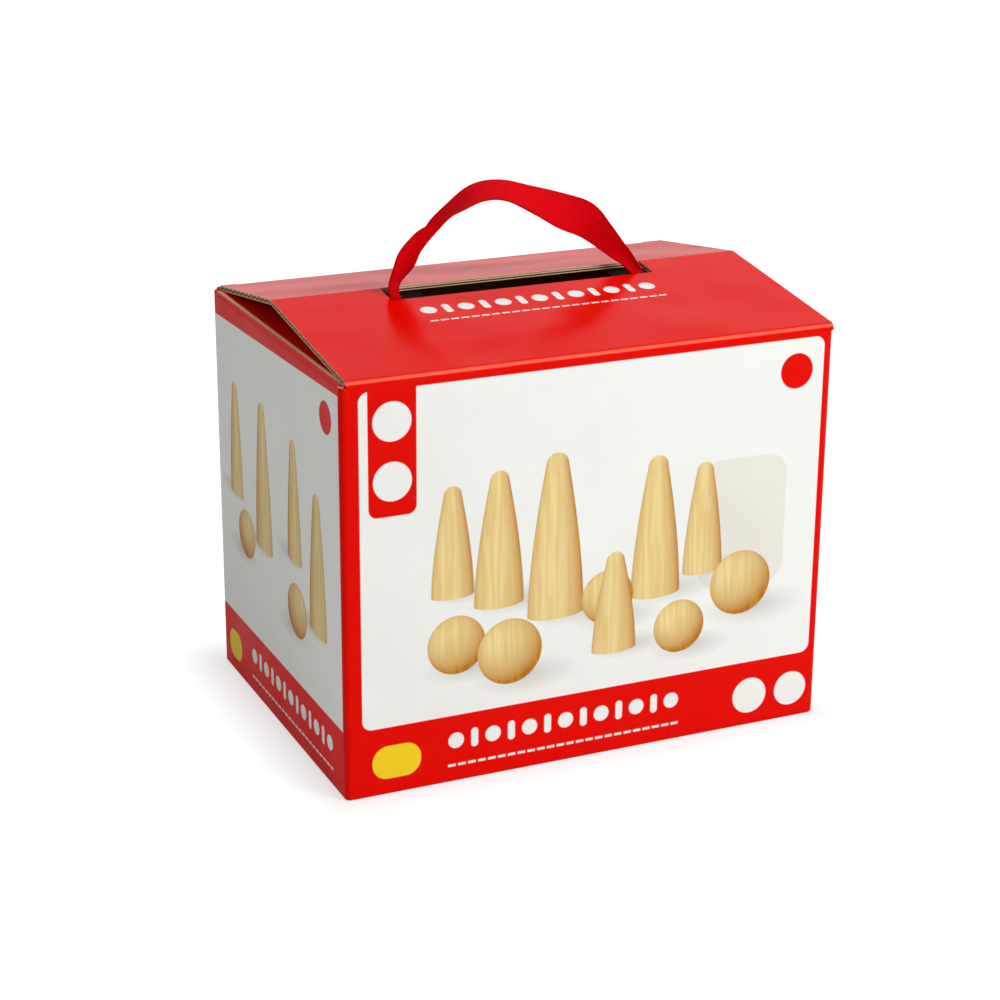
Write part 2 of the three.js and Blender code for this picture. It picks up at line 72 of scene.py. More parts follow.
# Board and creases
BOARD = 2.5 * MM
OUTER_LINER = 0.45 * MM
INNER_LINER = 0.35 * MM
MEDIUM = 0.28 * MM
FLUTE_PITCH = 6.4 * MM
FLUTE_STEPS = 10
FLUTE_CLEARANCE = 0.02 * MM
SHEET_MARGIN = 2.5 * MM
FOLD_RADIUS = 3 * MM
FOLD_STEPS = 8
BASE_RADIUS = 1.4 * MM
CREASE_FLAT = 0.6 * MM
RIM_GROOVE = 1.6 * MM
# Print on the front crease's ends starts this far below the fold
PRINTED_END = 1.6 * MM
# The share of a corner's radius, seen from the front, that takes the side wall's print
SIDE_PRINT_SHARE = 0.3
# The tuck flap's printed side ends this far behind and above its box's lower front edge
TUCK_END_BACK = 0.99 * BOARD
TUCK_END_UP = 0.14 * BOARD

# Places of the creases, from the joints, and of the walls, from the solids
joint_places = {joint["name"]: Vector(joint["pos_m"]) for joint in frame["joints"]}
front_fold = joint_places["lid_open"]
ridge_fold = joint_places["ridge_fold"]
tuck_fold = joint_places["tuck_fold"]
dust_fold = joint_places["right_dust_fold"]
handle_pivot = joint_places["handle_swing"]
walls_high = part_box("carton_walls")[1]
roof_low, roof_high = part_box("front_roof_panel")
tuck_low, tuck_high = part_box("tuck_flap")
HALF_WIDTH = walls_high.x
HALF_DEPTH = walls_high.y
WALL_TOP = dust_fold.z
BACK_TOP = walls_high.z
INNER_X = HALF_WIDTH - BOARD
INNER_Y = HALF_DEPTH - BOARD

# Directions: across the front, to the back, up, and along the lid's panels from front to back
to_right = Vector((1, 0, 0))
to_back = Vector((0, 1, 0))
up = Vector((0, 0, 1))
front_slope = (ridge_fold - front_fold).normalized()
rear_slope = (tuck_fold - ridge_fold).normalized()
tuck_tip = Vector((0, tuck_low.y + TUCK_END_BACK, tuck_low.z + TUCK_END_UP))
tuck_run = (tuck_tip - tuck_fold).normalized()

# The slot along the ridge
SLOT_LEFT = -69.7 * MM
SLOT_RIGHT = 73.3 * MM
SLOT_FRONT = -7.4 * MM
SLOT_CORNER = 0.8 * MM
# An end face further out than this is the lid's own, and shows its cut edge
LID_ENDS = 1.2 * SLOT_RIGHT


# Materials: arithmetic on sockets, and one method for every other node
class Value:
    """A node's output. Arithmetic on it adds Math nodes."""

    def __init__(self, finish, socket):
        self.finish = finish
        self.socket = socket

    def _math(self, operation, *operands):
        return self.finish.node("ShaderNodeMath", {"operation": operation}, dict(enumerate(operands)))

    def __add__(self, other):
        return self._math("ADD", self, other)

    def __radd__(self, other):
        return self._math("ADD", other, self)

    def __sub__(self, other):
        return self._math("SUBTRACT", self, other)

    def __rsub__(self, other):
        return self._math("SUBTRACT", other, self)

    def __mul__(self, other):
        return self._math("MULTIPLY", self, other)

    def __rmul__(self, other):
        return self._math("MULTIPLY", other, self)

    def __truediv__(self, other):
        return self._math("DIVIDE", self, other)

    def __abs__(self):
        return self._math("ABSOLUTE", self)

    def above(self, other):
        return self._math("MAXIMUM", self, other)

    def root(self):
        return self._math("SQRT", self)

    def sine(self):
        return self._math("SINE", self)

    def power(self, exponent):
        return self._math("POWER", self, exponent)

    def modulo(self, other):
        return self._math("FLOORED_MODULO", self, other)

    def clamped(self):
        settings = {"operation": "ADD", "use_clamp": True}
        return self.finish.node("ShaderNodeMath", settings, {0: self, 1: 0})

    def part(self, name):
        return Value(self.finish, self.socket.node.outputs[name])


class Finish:
    """A material with one glossy or matt shader, and helpers that add its nodes."""

    def __init__(self, name, roughness=0.5, specular=0.5, **constants):
        self.material = bpy.data.materials.new(name)
        self.material.use_nodes = True
        self.tree = self.material.node_tree
        self.shader = self.tree.nodes["Principled BSDF"]
        self.shader.inputs["Roughness"].default_value = roughness
        self.shader.inputs["Specular IOR Level"].default_value = specular
        for socket, value in constants.items():
            self.shader.inputs[socket.replace("_", " ").title()].default_value = value

    def node(self, kind, settings=(), inputs=()):
        """Any node: its type, its settings, and the values or links of its sockets."""
        made = self.tree.nodes.new(kind)
        for name, value in dict(settings).items():
            setattr(made, name, value)
        for name, value in dict(inputs).items():
            if isinstance(value, Value):
                self.tree.links.new(value.socket, made.inputs[name])
            else:
                made.inputs[name].default_value = value
        return Value(self, next(output for output in made.outputs if output.enabled))

    def place(self):
        """The point on the object, in millimetres, as three values."""
        point = self.node("ShaderNodeTexCoord").part("Object")
        split = self.node("ShaderNodeSeparateXYZ", inputs={0: point})
        return [split.part(axis) * (1 / MM) for axis in "XYZ"]

    def vector(self, x, y, z):
        return self.node("ShaderNodeCombineXYZ", inputs={0: x, 1: y, 2: z})

    def vector_math(self, operation, first, second=None):
        operands = {0: first} if second is None else {0: first, 1: second}
        return self.node("ShaderNodeVectorMath", {"operation": operation}, operands)

    def measure(self, operation, first, second=None):
        """A Vector Math node's number, for the operations that give one."""
        return self.vector_math(operation, first, second).part("Value")

    def scaled(self, vector, factor):
        return self.node("ShaderNodeVectorMath", {"operation": "SCALE"}, {0: vector, 3: factor})

    def reach_beyond(self, offset, core):
        """How far an offset from a box's middle reaches out of the box, whose half size is core."""
        folded = self.vector_math("ABSOLUTE", offset)
        beyond = self.vector_math("SUBTRACT", folded, core)
        return self.measure("LENGTH", self.vector_math("MAXIMUM", beyond, (0, 0, 0)))

    def noise(self, where, scale, detail, roughness=0.5):
        settings = {"Vector": where, "Scale": scale, "Detail": detail, "Roughness": roughness}
        return self.node("ShaderNodeTexNoise", inputs=settings).part("Fac")

    def blend(self, share, first, second):
        """first where share is 0, second where it is 1."""
        return self.node("ShaderNodeMix", {"data_type": "RGBA"}, {0: share, 6: first, 7: second})

    def bumps(self, *layers):
        """A normal from layers of (height, depth in millimetres), the first one undermost."""
        normal = {}
        for height, depth in layers:
            inputs = {"Height": height, "Distance": depth * MM, "Strength": 1.0, **normal}
            normal = {"Normal": self.node("ShaderNodeBump", inputs=inputs)}
        return normal["Normal"]

    def wear(self, **links):
        """Feeds the shader's varying sockets."""
        for socket, value in links.items():
            self.tree.links.new(value.socket, self.shader.inputs[socket.replace("_", " ").title()])
        return self.material


def colour(red, green, blue):
    """A colour given as on a screen, from 0 to 255, turned into the shader's numbers."""
    shares = [channel / 255 for channel in (red, green, blue)]
    linear = [s / 12.92 if s <= 0.04045 else ((s + 0.055) / 1.055) ** 2.4 for s in shares]
    return (*linear, 1)


RED_INK = colour(231, 8, 0)
WHITE_INK = colour(243, 245, 240)
YELLOW_INK = colour(248, 214, 40)
WOOD_DARK = colour(178, 104, 20)
WOOD_MIDDLE = colour(220, 172, 72)
WOOD_LIGHT = colour(245, 226, 166)
KRAFT = colour(216, 178, 138)
KRAFT_DARK = colour(176, 138, 100)
SHADOW_INK = colour(176, 172, 164)
PALE_INK = colour(234, 232, 222)

# The width over which an inked edge fades, in millimetres
EDGE_BLUR = 0.22


def covered(distance):
    """1 inside a shape and 0 outside it, from its signed distance in millimetres."""
    settings = {"operation": "MULTIPLY_ADD", "use_clamp": True}
    return distance.finish.node("ShaderNodeMath", settings, {0: distance, 1: -0.5 / EDGE_BLUR, 2: 0.5})


def wave(value, pitch):
    """A sine along a value in millimetres, with one turn in each pitch."""
    return (value * (2 * math.pi / pitch)).sine()


class Sheet:
    """One face's print, drawn in millimetres across and up it, one shape over another."""

    def __init__(self, finish, across, up, ground):
        self.finish = finish
        self.across = across
        self.up = up
        self.point = finish.vector(across, 0, up)
        self.ink = ground

    def lay(self, cover, ink):
        self.ink = self.finish.blend(cover, self.ink, ink)

    def offset(self, point, centre):
        """The way from a centre, given as (across, up), to a point."""
        return self.finish.vector_math("SUBTRACT", point, (centre[0], 0, centre[1]))

    def distance(self, point, centre):
        return self.finish.measure("DISTANCE", point, (centre[0], 0, centre[1]))

    def disc(self, centre, radius, ink):
        self.lay(covered(self.distance(self.point, centre) - radius), ink)

    def box_cover(self, point, centre, half, radius):
        """Cover of a box with rounded corners."""
        core = (half[0] - radius, 0, half[1] - radius)
        return covered(self.finish.reach_beyond(self.offset(point, centre), core) - radius)

    def box(self, centre, half, radius, ink):
        self.lay(self.box_cover(self.point, centre, half, radius), ink)

    def shadow(self, centre, half):
        """A soft shadow on the white ground, under a drawn shape."""
        shrunk = self.finish.vector_math("DIVIDE", self.offset(self.point, centre), (half[0], 1, half[1]))
        dark = (1 - self.finish.measure("LENGTH", shrunk)).clamped()
        self.lay(dark * 0.55, SHADOW_INK)

    def wood(self, light):
        """Wood colour for light from 0 to 1, with long streaks up the sheet."""
        body = self.finish.blend(light, WOOD_DARK, WOOD_LIGHT)
        return self.finish.blend(self.grain.clamped() * 0.6, body, WOOD_MIDDLE)

    def streaks(self):
        """Makes the grain that wood draws with, before the first peg or ball."""
        streaked = self.finish.vector(self.across * 0.5, 0, self.up * 0.04)
        warp = self.finish.noise(streaked, 0.3, 2)
        rings = (self.across * 1.1 + warp * 22 + self.up * 0.05).sine() * 0.5 + 0.5
        self.grain = rings * 0.5 + self.finish.noise(streaked, 1.4, 4) * 0.8 - 0.25

    def ball(self, centre, radius):
        self.shadow((centre[0] + radius * 0.5, centre[1] - radius * 0.8), (radius * 1.7, radius * 0.6))
        unit = self.finish.scaled(self.offset(self.point, centre), 1 / radius)
        reach = self.finish.measure("LENGTH", unit)
        bulge = (1 - reach * reach).above(0).root()
        slant = self.finish.measure("DOT_PRODUCT", unit, (-0.3, 0, 0.42))
        self.lay(covered((reach - 1) * radius), self.wood((bulge * 0.72 + slant + 0.1).clamped()))

    def peg(self, foot, height, wide, narrow):
        """A turned peg, from its foot's half width to its top's, with a rounded head."""
        x, z = foot
        self.shadow((x + wide * 0.7, z + 1), (wide * 2, wide * 0.6))
        rise = ((self.up - z) / height).clamped()
        reach = (1 - rise.power(1.6)) * (wide - narrow) + narrow
        side = (self.across - x) / reach
        body = (abs(side) - 1) * wide
        bulge = (1 - side * side).above(0).root()
        body = body.above(self.up - (z + height)).above(z - bulge * (wide * 0.22) - self.up)
        cover = covered(body)
        head = self.distance(self.point, (x, z + height)) - narrow
        cover = cover.above(covered(head))
        self.lay(cover, self.wood((bulge * 0.85 - side * 0.2 + 0.08).clamped()))

    def border(self, start, end, height, size):
        """A row of plain discs and upright bars, with a rule of short dashes under it."""
        cell = BORDER_CELL * size
        dash_step = (end - start) / BORDER_DASHES
        run = (self.across - start).modulo(cell)
        point = self.finish.vector(run, 0, self.up - height)
        discs = self.distance(point, (cell / 4, 0)) - BORDER_DISC * size
        bar_half = (BORDER_BAR[0] * size, BORDER_BAR[1] * size)
        bars = self.box_cover(point, (cell * 3 / 4, 0), bar_half, BORDER_BAR_CORNER * size)
        within = covered(abs(self.across - (start + end) / 2) - (end - start) / 2)
        self.lay(covered(discs).above(bars) * within, WHITE_INK)
        off_dash = abs((self.across - start).modulo(dash_step) - dash_step / 2)
        dash = covered(off_dash - dash_step * DASH_SHARE)
        rule = covered(abs(self.up - (height - RULE_DROP * size)) - RULE_HALF * size)
        self.lay(dash * rule * within, WHITE_INK)


# The printed pictures, in millimetres on each face
PICTURE_BASE = 35.4
PICTURE_TOP = 203.4
FIELD_HALF = 122.2
FIELD_CORNER = 5
SIDE_FIELD_TOP = 198.6
SIDE_FIELD_FALL = 0.038
SIDE_FIELD_FRONT = -89.7
BORDER_HEIGHT = 22
BORDER_CELL = 21
BORDER_DASHES = 24
BORDER_DISC = 4.4
BORDER_BAR = (2, 5.4)
BORDER_BAR_CORNER = 1.9
DASH_SHARE = 0.38
RULE_DROP = 14
RULE_HALF = 0.7


def field_sheet(finish, x, z, middle):
    """Red print with a white field, rounded at its corners."""
    sheet = Sheet(finish, x, z, RED_INK)
    half = (PICTURE_TOP - PICTURE_BASE) / 2
    sheet.box((middle, PICTURE_BASE + half), (FIELD_HALF, half), FIELD_CORNER, WHITE_INK)
    sheet.streaks()
    return sheet


def front_picture(finish, x, z):
    """Turned pegs and balls, blank badges, and a border."""
    sheet = field_sheet(finish, x, z, 1.8)
    sheet.box((82, 112), (24, 34), 11, PALE_INK)
    sheet.peg((-74, 98), 50, 11, 4.6)
    sheet.peg((60, 90), 52, 11, 4.6)
    sheet.peg((-50, 90), 62, 13, 5)
    sheet.ball((82, 80), 17)
    sheet.peg((34, 82), 66, 13.5, 5.4)
    sheet.peg((-20, 80), 76, 15, 6)
    sheet.ball((8, 84), 14)
    sheet.ball((-72, 72), 15)
    sheet.ball((48, 62), 14)
    sheet.peg((12, 56), 46, 12, 5)
    sheet.ball((-44, 64), 17)
    sheet.box((-104, 180), (12, 38), 4.5, RED_INK)
    for height in (188, 159):
        sheet.disc((-104, height), 9.6, WHITE_INK)
    sheet.disc((109, 187), 9, RED_INK)
    sheet.box((-103, 17), (12.5, 8.6), 8, YELLOW_INK)
    sheet.disc((90.3, 16.6), 9.6, WHITE_INK)
    sheet.disc((114.2, 16.4), 9.2, WHITE_INK)
    sheet.border(-77, 50, BORDER_HEIGHT, 0.93)
    return sheet.ink


def side_picture(finish, y, z):
    """The side walls' print. y runs from the front edge to the back."""
    sheet = Sheet(finish, y, z, RED_INK)
    past_top = z - (SIDE_FIELD_TOP - y * SIDE_FIELD_FALL)
    sheet.lay(covered(past_top.above(PICTURE_BASE - z).above(SIDE_FIELD_FRONT - y)), WHITE_INK)
    sheet.streaks()
    sheet.peg((62, 106), 56, 10, 4)
    sheet.peg((-26, 100), 58, 10, 4)
    sheet.peg((20, 90), 72, 12.5, 4.8)
    sheet.ball((48, 88), 13)
    sheet.peg((-58, 74), 66, 12, 4.6)
    sheet.ball((-28, 74), 14)
    sheet.disc((-73, 187), 8, RED_INK)
    sheet.box((73, 16), (10, 8), 7.5, YELLOW_INK)
    sheet.border(-76, 46.2, BORDER_HEIGHT, 0.895)
    return sheet.ink


def back_picture(finish, x, z):
    sheet = field_sheet(finish, x, z, 0)
    sheet.ball((-16, 96), 13)
    sheet.peg((72, 92), 54, 11, 4.6)
    sheet.peg((-80, 90), 56, 12, 4.8)
    sheet.peg((24, 84), 70, 14, 5.4)
    sheet.ball((52, 72), 17)
    sheet.peg((-44, 74), 76, 15, 6)
    sheet.ball((-6, 66), 15)
    sheet.ball((-88, 68), 13)
    sheet.border(-63.4, 63.5, BORDER_HEIGHT, 0.93)
    return sheet.ink


def roof_picture(finish, x, y):
    """The front slope's print, drawn on the distance from the front fold."""
    along = (y - front_fold.y / MM) * (1 / front_slope.y)
    sheet = Sheet(finish, x, along, RED_INK)
    sheet.border(-62, 66.3, 70, 0.94)
    return sheet.ink


def printed(name, flutes, plane, picture, mark=None):
    """Gloss-varnished print over corrugated board. The flutes repeat along one axis, picture gives the
    ink from the two axes of its plane, and mark adds a crease's wear, on the front fold with a painted
    highlight."""
    finish = Finish(name, roughness=0.25, specular=0.05)
    place = dict(zip("XYZ", finish.place()))
    where = finish.vector(*place.values())
    ink = picture(finish, *(place[axis] for axis in plane))
    ink = finish.blend(finish.noise(where, 0.02, 3) * 0.07, ink, colour(120, 10, 10))
    scuffs = (finish.noise(where, 0.35, 5, 0.7) - 0.62).clamped() * 0.5
    ink = finish.blend(scuffs, ink, colour(250, 170, 150))
    if mark:
        ink = mark(finish, ink, where, *place.values())
    swell = finish.noise(where, 0.018, 1)
    ribs = wave(place[flutes], FLUTE_PITCH / MM)
    fine = finish.noise(where, 1.6, 3)
    rough = 0.13 + finish.noise(where, 0.06, 4, 0.6) * 0.14
    normal = finish.bumps((swell, 2.2), (ribs, 0.006), (fine, 0.02))
    return finish.wear(base_color=ink, roughness=rough, normal=normal)


# Wear along the creases, and the front fold's painted highlight, in millimetres
PALE_SETBACK = 0.7
PALE_DROP = 0.6
PALE_HALF = 0.45
CRACK_START = 0.8
CRACK_CLIMB = 1.5
CRACK_HALF = 0.95
CRACK_DEPTH = 4


def front_crease_wear_and_highlight(finish, ink, where, x, y, z):
    """A paler line along the front fold: partly stretched varnish, partly a painted highlight of the
    rounded fold.
    """
    speck = finish.noise(where, 0.9, 4, 0.7)
    behind = abs(y - (front_fold.y / MM + PALE_SETBACK))
    below = abs(z - (front_fold.z / MM - PALE_DROP))
    # Painted highlight along the fold, mixed with the stretched varnish's paler colour.
    pale_wear_and_highlight = covered(behind.above(below) - PALE_HALF - speck * 0.5) * 0.5
    return finish.blend(pale_wear_and_highlight, ink, colour(255, 130, 96))


def side_crease_mark(finish, ink, where, x, y, z):
    """Bare brown board where the print has cracked along the dust flap's crease. The crack climbs
    from the fold's side at the back to its top at the front."""
    speck = finish.noise(where, 0.9, 4, 0.7)
    turned = (HALF_WIDTH / MM - abs(x)) - (WALL_TOP / MM - z)
    forward = (0.5 - y * (0.5 / (HALF_DEPTH / MM))).clamped()
    line = abs(turned - (CRACK_START + forward * CRACK_CLIMB)) - CRACK_HALF
    on_crease = covered(WALL_TOP / MM - CRACK_DEPTH - z)
    bare = covered(line - (speck - 0.5) * 1.1) * on_crease
    return finish.blend(bare * 0.95, ink, KRAFT)


def kraft_finish(name, flutes, light=KRAFT, dark=KRAFT_DARK):
    """Bare brown board, with the faint ribs of flutes that repeat along one axis: their bumps, and
    painted shade in bands along them.
    """
    finish = Finish(name, roughness=0.86, specular=0.2)
    place = dict(zip("XYZ", finish.place()))
    where = finish.vector(*place.values())
    fibres = finish.noise(where, 0.7, 5, 0.65)
    blotch = finish.noise(where, 0.05, 3)
    ribs = wave(place[flutes], FLUTE_PITCH / MM)
    shade = finish.blend((fibres * 1.4 - 0.35).clamped(), dark, light)
    shade = finish.blend(blotch * 0.3, shade, colour(222, 190, 152))
    # Painted shade: darker bands along the flutes' ribs.
    shade = finish.blend((ribs * 0.5 + 0.5) * 0.16, shade, dark)
    return finish.wear(base_color=shade, normal=finish.bumps((ribs, 0.05), (fibres, 0.05)))


def wood_finish(name, light, dark, turn):
    """Turned and varnished pale wood with the grain along the height."""
    finish = Finish(name, roughness=0.3, specular=0.45)
    x, y, z = finish.place()
    across = x * math.cos(turn) + y * math.sin(turn)
    warp = finish.noise(finish.vector(x * 0.05, y * 0.05, z * 0.012), 1, 2)
    rings = (across * 0.45 + warp * 26 + z * 0.012).sine() * 0.5 + 0.5
    fine = finish.noise(finish.vector(x * 1.6, y * 1.6, z * 0.06), 1, 4, 0.7)
    shade = finish.blend(rings * 0.55, light, dark)
    shade = finish.blend((fine - 0.42).clamped() * 1.1, shade, dark)
    lathe_marks = (z * 9).sine()
    normal = finish.bumps((lathe_marks, 0.004), (fine, 0.03))
    return finish.wear(base_color=shade, roughness=0.24 + fine * 0.2, normal=normal)


# The ribbon's weave and the bag's, in millimetres
RIB_PITCH = 0.6
YARN_PITCH = 0.5
SELVEDGE = 1.1
CALICO_PITCH = 0.7


def ribbon_finish(name, length, width):
    """Ribbed woven ribbon, drawn on its own length and width."""
    finish = Finish(name, roughness=0.65, specular=0.04)
    uv = finish.node("ShaderNodeSeparateXYZ", inputs={0: finish.node("ShaderNodeUVMap")})
    along = uv.part("X") * (length / MM)
    across = (uv.part("Y") - 0.5) * (width / MM)
    ribs = wave(along, RIB_PITCH) * 0.5 + 0.5
    yarns = wave(across, YARN_PITCH) * 0.5 + 0.5
    selvedge_and_edge_shade = ((abs(across) - (width / MM / 2 - SELVEDGE)) * 2.5).clamped()
    cloth = finish.noise(finish.vector(along * 0.25, across * 1.2, 0), 1, 4, 0.6)
    shade = finish.blend(ribs, colour(202, 0, 10), colour(216, 0, 15))
    shade = finish.blend(yarns * 0.15, shade, colour(176, 0, 10))
    # Darker along both edges: the selvedge, and painted shade of the ribbon's curved edges.
    shade = finish.blend(selvedge_and_edge_shade * 0.4, shade, colour(176, 0, 12))
    shade = finish.blend((cloth - 0.5).clamped() * 0.5, shade, colour(248, 16, 36))
    normal = finish.bumps((ribs * (1 - selvedge_and_edge_shade), 0.035), (yarns, 0.04))
    return finish.wear(base_color=shade, normal=normal)


def calico_finish(name):
    """Unbleached plain weave with darker flecks."""
    finish = Finish(name, roughness=0.92, specular=0.15, sheen_weight=0.2)
    x, y, z = finish.place()
    where = finish.vector(x, y, z)
    weave = wave(x, CALICO_PITCH) * wave(z, CALICO_PITCH)
    slub = finish.noise(finish.vector(x * 0.15, y * 0.5, z * 1.4), 1, 4, 0.7)
    fleck = (finish.noise(where, 1.3, 2) - 0.72).clamped() * 4
    shade = finish.blend(slub, colour(214, 202, 176), colour(240, 232, 214))
    shade = finish.blend((weave * 0.5 + 0.5) * 0.2, shade, colour(190, 178, 150))
    shade = finish.blend(fleck.clamped(), shade, colour(150, 128, 90))
    crumple = finish.noise(where, 0.09, 3)
    return finish.wear(base_color=shade, normal=finish.bumps((crumple, 1.2), (weave, 0.09)))


def plastic_finish(name):
    finish = Finish(name, roughness=0.5, specular=0.02)
    grain = finish.noise(finish.vector(*finish.place()), 2.5, 3)
    shade = finish.blend(grain * 0.4, colour(7, 7, 7), colour(15, 15, 16))
    return finish.wear(
        base_color=shade, roughness=0.42 + grain * 0.2, normal=finish.bumps((grain, 0.03)))


front_print = printed("front print", "Z", "XZ", front_picture, front_crease_wear_and_highlight)
side_print = printed("side print", "Z", "YZ", side_picture, side_crease_mark)
back_print = printed("back print", "Z", "XZ", back_picture)
roof_print = printed("roof print", "Y", "XY", roof_picture)
plain_print = printed("plain red print", "Y", "", lambda finish: RED_INK)
kraft_walls = kraft_finish("brown board, ribs up the walls", "Z")
kraft_lid = kraft_finish("brown board, ribs along the lid", "Y")
kraft_flaps = kraft_finish("brown board, ribs across the flaps", "X")
cut_edge = kraft_finish("cut board edge", "Y", colour(244, 208, 178), colour(214, 170, 136))
pin_wood = wood_finish("pin wood", colour(248, 220, 164), colour(228, 178, 104), 0.6)
ball_wood = wood_finish("ball wood", colour(232, 190, 128), colour(200, 138, 72), 1.9)
calico = calico_finish("calico")
plastic = plastic_finish("black plastic")


# Modelling helpers
def clamp(value):
    return min(max(value, 0), 1)


def deselect():
    if bpy.context.mode != "OBJECT":
        bpy.ops.object.mode_set(mode="OBJECT")
    bpy.ops.object.select_all(action="DESELECT")


def named(name):
    """The object that an operator has just made, under its name."""
    piece = bpy.context.active_object
    piece.name = name
    piece.data.name = name
    return piece


def added(name, operator, **settings):
    """A new primitive, with nothing else selected."""
    deselect()
    operator(**settings)
    return named(name)


def activate(piece):
    deselect()
    piece.select_set(True)
    bpy.context.view_layer.objects.active = piece
    return piece


@contextmanager
def editing(piece, action="DESELECT"):
    """Edit mode on a piece, with all of it selected or none of it."""
    activate(piece)
    bpy.ops.object.mode_set(mode="EDIT")
    bpy.ops.mesh.select_mode(type="VERT")
    bpy.ops.mesh.select_all(action=action)
    yield
    bpy.ops.object.mode_set(mode="OBJECT")


def pick_edges(piece, test):
    """Selects in edit mode the edges whose two ends pass a test together."""
    bpy.ops.mesh.select_mode(type="EDGE")
    bpy.ops.mesh.select_all(action="DESELECT")
    mesh = bmesh.from_edit_mesh(piece.data)
    for edge in mesh.edges:
        edge.select = test(edge.verts[0].co, edge.verts[1].co)
    mesh.select_flush_mode()
    bmesh.update_edit_mesh(piece.data)


def round_edges(piece, test, radius, steps):
    """Bevels in edit mode the edges that pick_edges takes."""
    pick_edges(piece, test)
    bpy.ops.mesh.bevel(offset=radius, segments=steps, affect="EDGES")


def pick_faces(piece, test):
    """Selects in edit mode the faces whose middle and normal pass a test."""
    bpy.ops.mesh.select_mode(type="FACE")
    bpy.ops.mesh.select_all(action="DESELECT")
    mesh = bmesh.from_edit_mesh(piece.data)
    for face in mesh.faces:
        face.select = test(face.calc_center_median(), face.normal)
    mesh.select_flush_mode()
    bmesh.update_edit_mesh(piece.data)


def upright(first, second):
    return abs(first.z - second.z) > MM


def level(first, second):
    return abs(first.z - second.z) < MM / 10


def finished(piece):
    """Bakes the piece's place and turn into its mesh, which leaves its object at the origin."""
    piece.data.transform(piece.matrix_world)
    piece.matrix_world = Matrix.Identity(4)
    return piece


def modified(piece, kind, **settings):
    activate(piece)
    modifier = piece.modifiers.new(kind.lower(), kind)
    for name, value in settings.items():
        setattr(modifier, name, value)
    bpy.ops.object.modifier_apply(modifier=modifier.name)
    return piece


def thickened(piece, thickness):
    """Gives a sheet its thickness, half to each side."""
    return modified(piece, "SOLIDIFY", thickness=thickness, offset=0)


def outward(piece):
    with editing(piece, "SELECT"):
        bpy.ops.mesh.normals_make_consistent(inside=False)
    return piece


def boarded(skin, facing=None):
    """Gives an outer skin the board's thickness inwards, after turning it to face a direction."""
    if facing is not None and skin.data.polygons[0].normal.dot(facing) < 0:
        with editing(skin, "SELECT"):
            bpy.ops.mesh.flip_normals()
    return modified(skin, "SOLIDIFY", thickness=BOARD, offset=-1, use_even_offset=True)


def smooth(piece, degrees):
    activate(piece)
    bpy.ops.object.shade_smooth_by_angle(angle=math.radians(degrees))
    return piece


def joined(name, first, *others):
    activate(first)
    for other in others:
        other.select_set(True)
    bpy.ops.object.join()
    return named(name)


def split_at(piece, place, direction):
    """Adds an edge all round where a plane crosses the piece."""
    with editing(piece, "SELECT"):
        bpy.ops.mesh.bisect(plane_co=place, plane_no=direction)
    return piece


def copied(piece, name):
    copy = piece.copy()
    copy.data = piece.data.copy()
    copy.name = name
    copy.data.name = name
    bpy.context.collection.objects.link(copy)
    return copy


def block(name, low, high):
    """A cube primitive stretched between two corners."""
    middle = (Vector(low) + Vector(high)) / 2
    piece = added(name, bpy.ops.mesh.primitive_cube_add, size=1, location=middle)
    piece.scale = Vector(high) - Vector(low)
    bpy.context.view_layer.update()
    return finished(piece)


def paint(piece, finishes, choose=lambda middle, normal: 0):
    """Gives each face one of the finishes: the first, or what choose says of its middle and normal."""
    piece.data.materials.clear()
    for material in finishes:
        piece.data.materials.append(material)
    for face in piece.data.polygons:
        face.material_index = choose(face.center, face.normal)
    return piece


def carries(piece, body, slot, *nodes):
    """Sets a finished piece on its body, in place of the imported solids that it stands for."""
    if nodes:
        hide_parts(*nodes)
    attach(piece, body)
    return piece


def combined(piece, cutter, operation):
    modified(piece, "BOOLEAN", object=cutter, operation=operation, solver="EXACT")
    bpy.data.objects.remove(cutter, do_unlink=True)
    return piece


def line_of(name, points):
    """A line of edges: one point, extruded along the way."""
    line = added(name, bpy.ops.mesh.primitive_plane_add, size=MM)
    with editing(line, "SELECT"):
        bpy.ops.mesh.merge(type="CENTER")
        bpy.ops.transform.translate(value=points[0])
        for before, after in zip(points, points[1:]):
            step = Vector(after) - Vector(before)
            bpy.ops.mesh.extrude_vertices_move(TRANSFORM_OT_translate={"value": step})
    return line


def swept(line, start, end):
    """A sheet made from a line in a plane across X, extruded along X."""
    for point in line.data.vertices:
        point.co.x = start
    with editing(line, "SELECT"):
        bpy.ops.mesh.extrude_edges_move(TRANSFORM_OT_translate={"value": (end - start, 0, 0)})
    return line


# Corrugated panels
def corrugated(name, length, to_world, outline):
    """A flat panel of real corrugated board, drawn flat with its flutes along X and its outside up,
    trimmed to an outline of (x, y) points and then put in place."""
    half = HALF_WIDTH + SHEET_MARGIN
    top = block(f"{name}_liner", (-half, 0, -OUTER_LINER), (half, length, 0))
    low = block(f"{name}_inside", (-half, 0, -BOARD), (half, length, INNER_LINER - BOARD))
    flutes = added(f"{name}_flutes", bpy.ops.mesh.primitive_grid_add, size=1, x_subdivisions=1,
                   y_subdivisions=max(4, round(length / FLUTE_PITCH * FLUTE_STEPS)))
    room = BOARD - OUTER_LINER - INNER_LINER - MEDIUM - 2 * FLUTE_CLEARANCE
    middle = -(OUTER_LINER + BOARD - INNER_LINER) / 2
    for point in flutes.data.vertices:
        run = (point.co.y + 0.5) * length
        rise = room / 2 * math.sin(2 * math.pi * run / FLUTE_PITCH)
        point.co = (point.co.x * 2 * half, run, middle + rise)
    panel = joined(name, top, low, thickened(flutes, MEDIUM))
    combined(panel, trimmer(outline), "INTERSECT")
    panel.matrix_world = to_world
    return finished(panel)


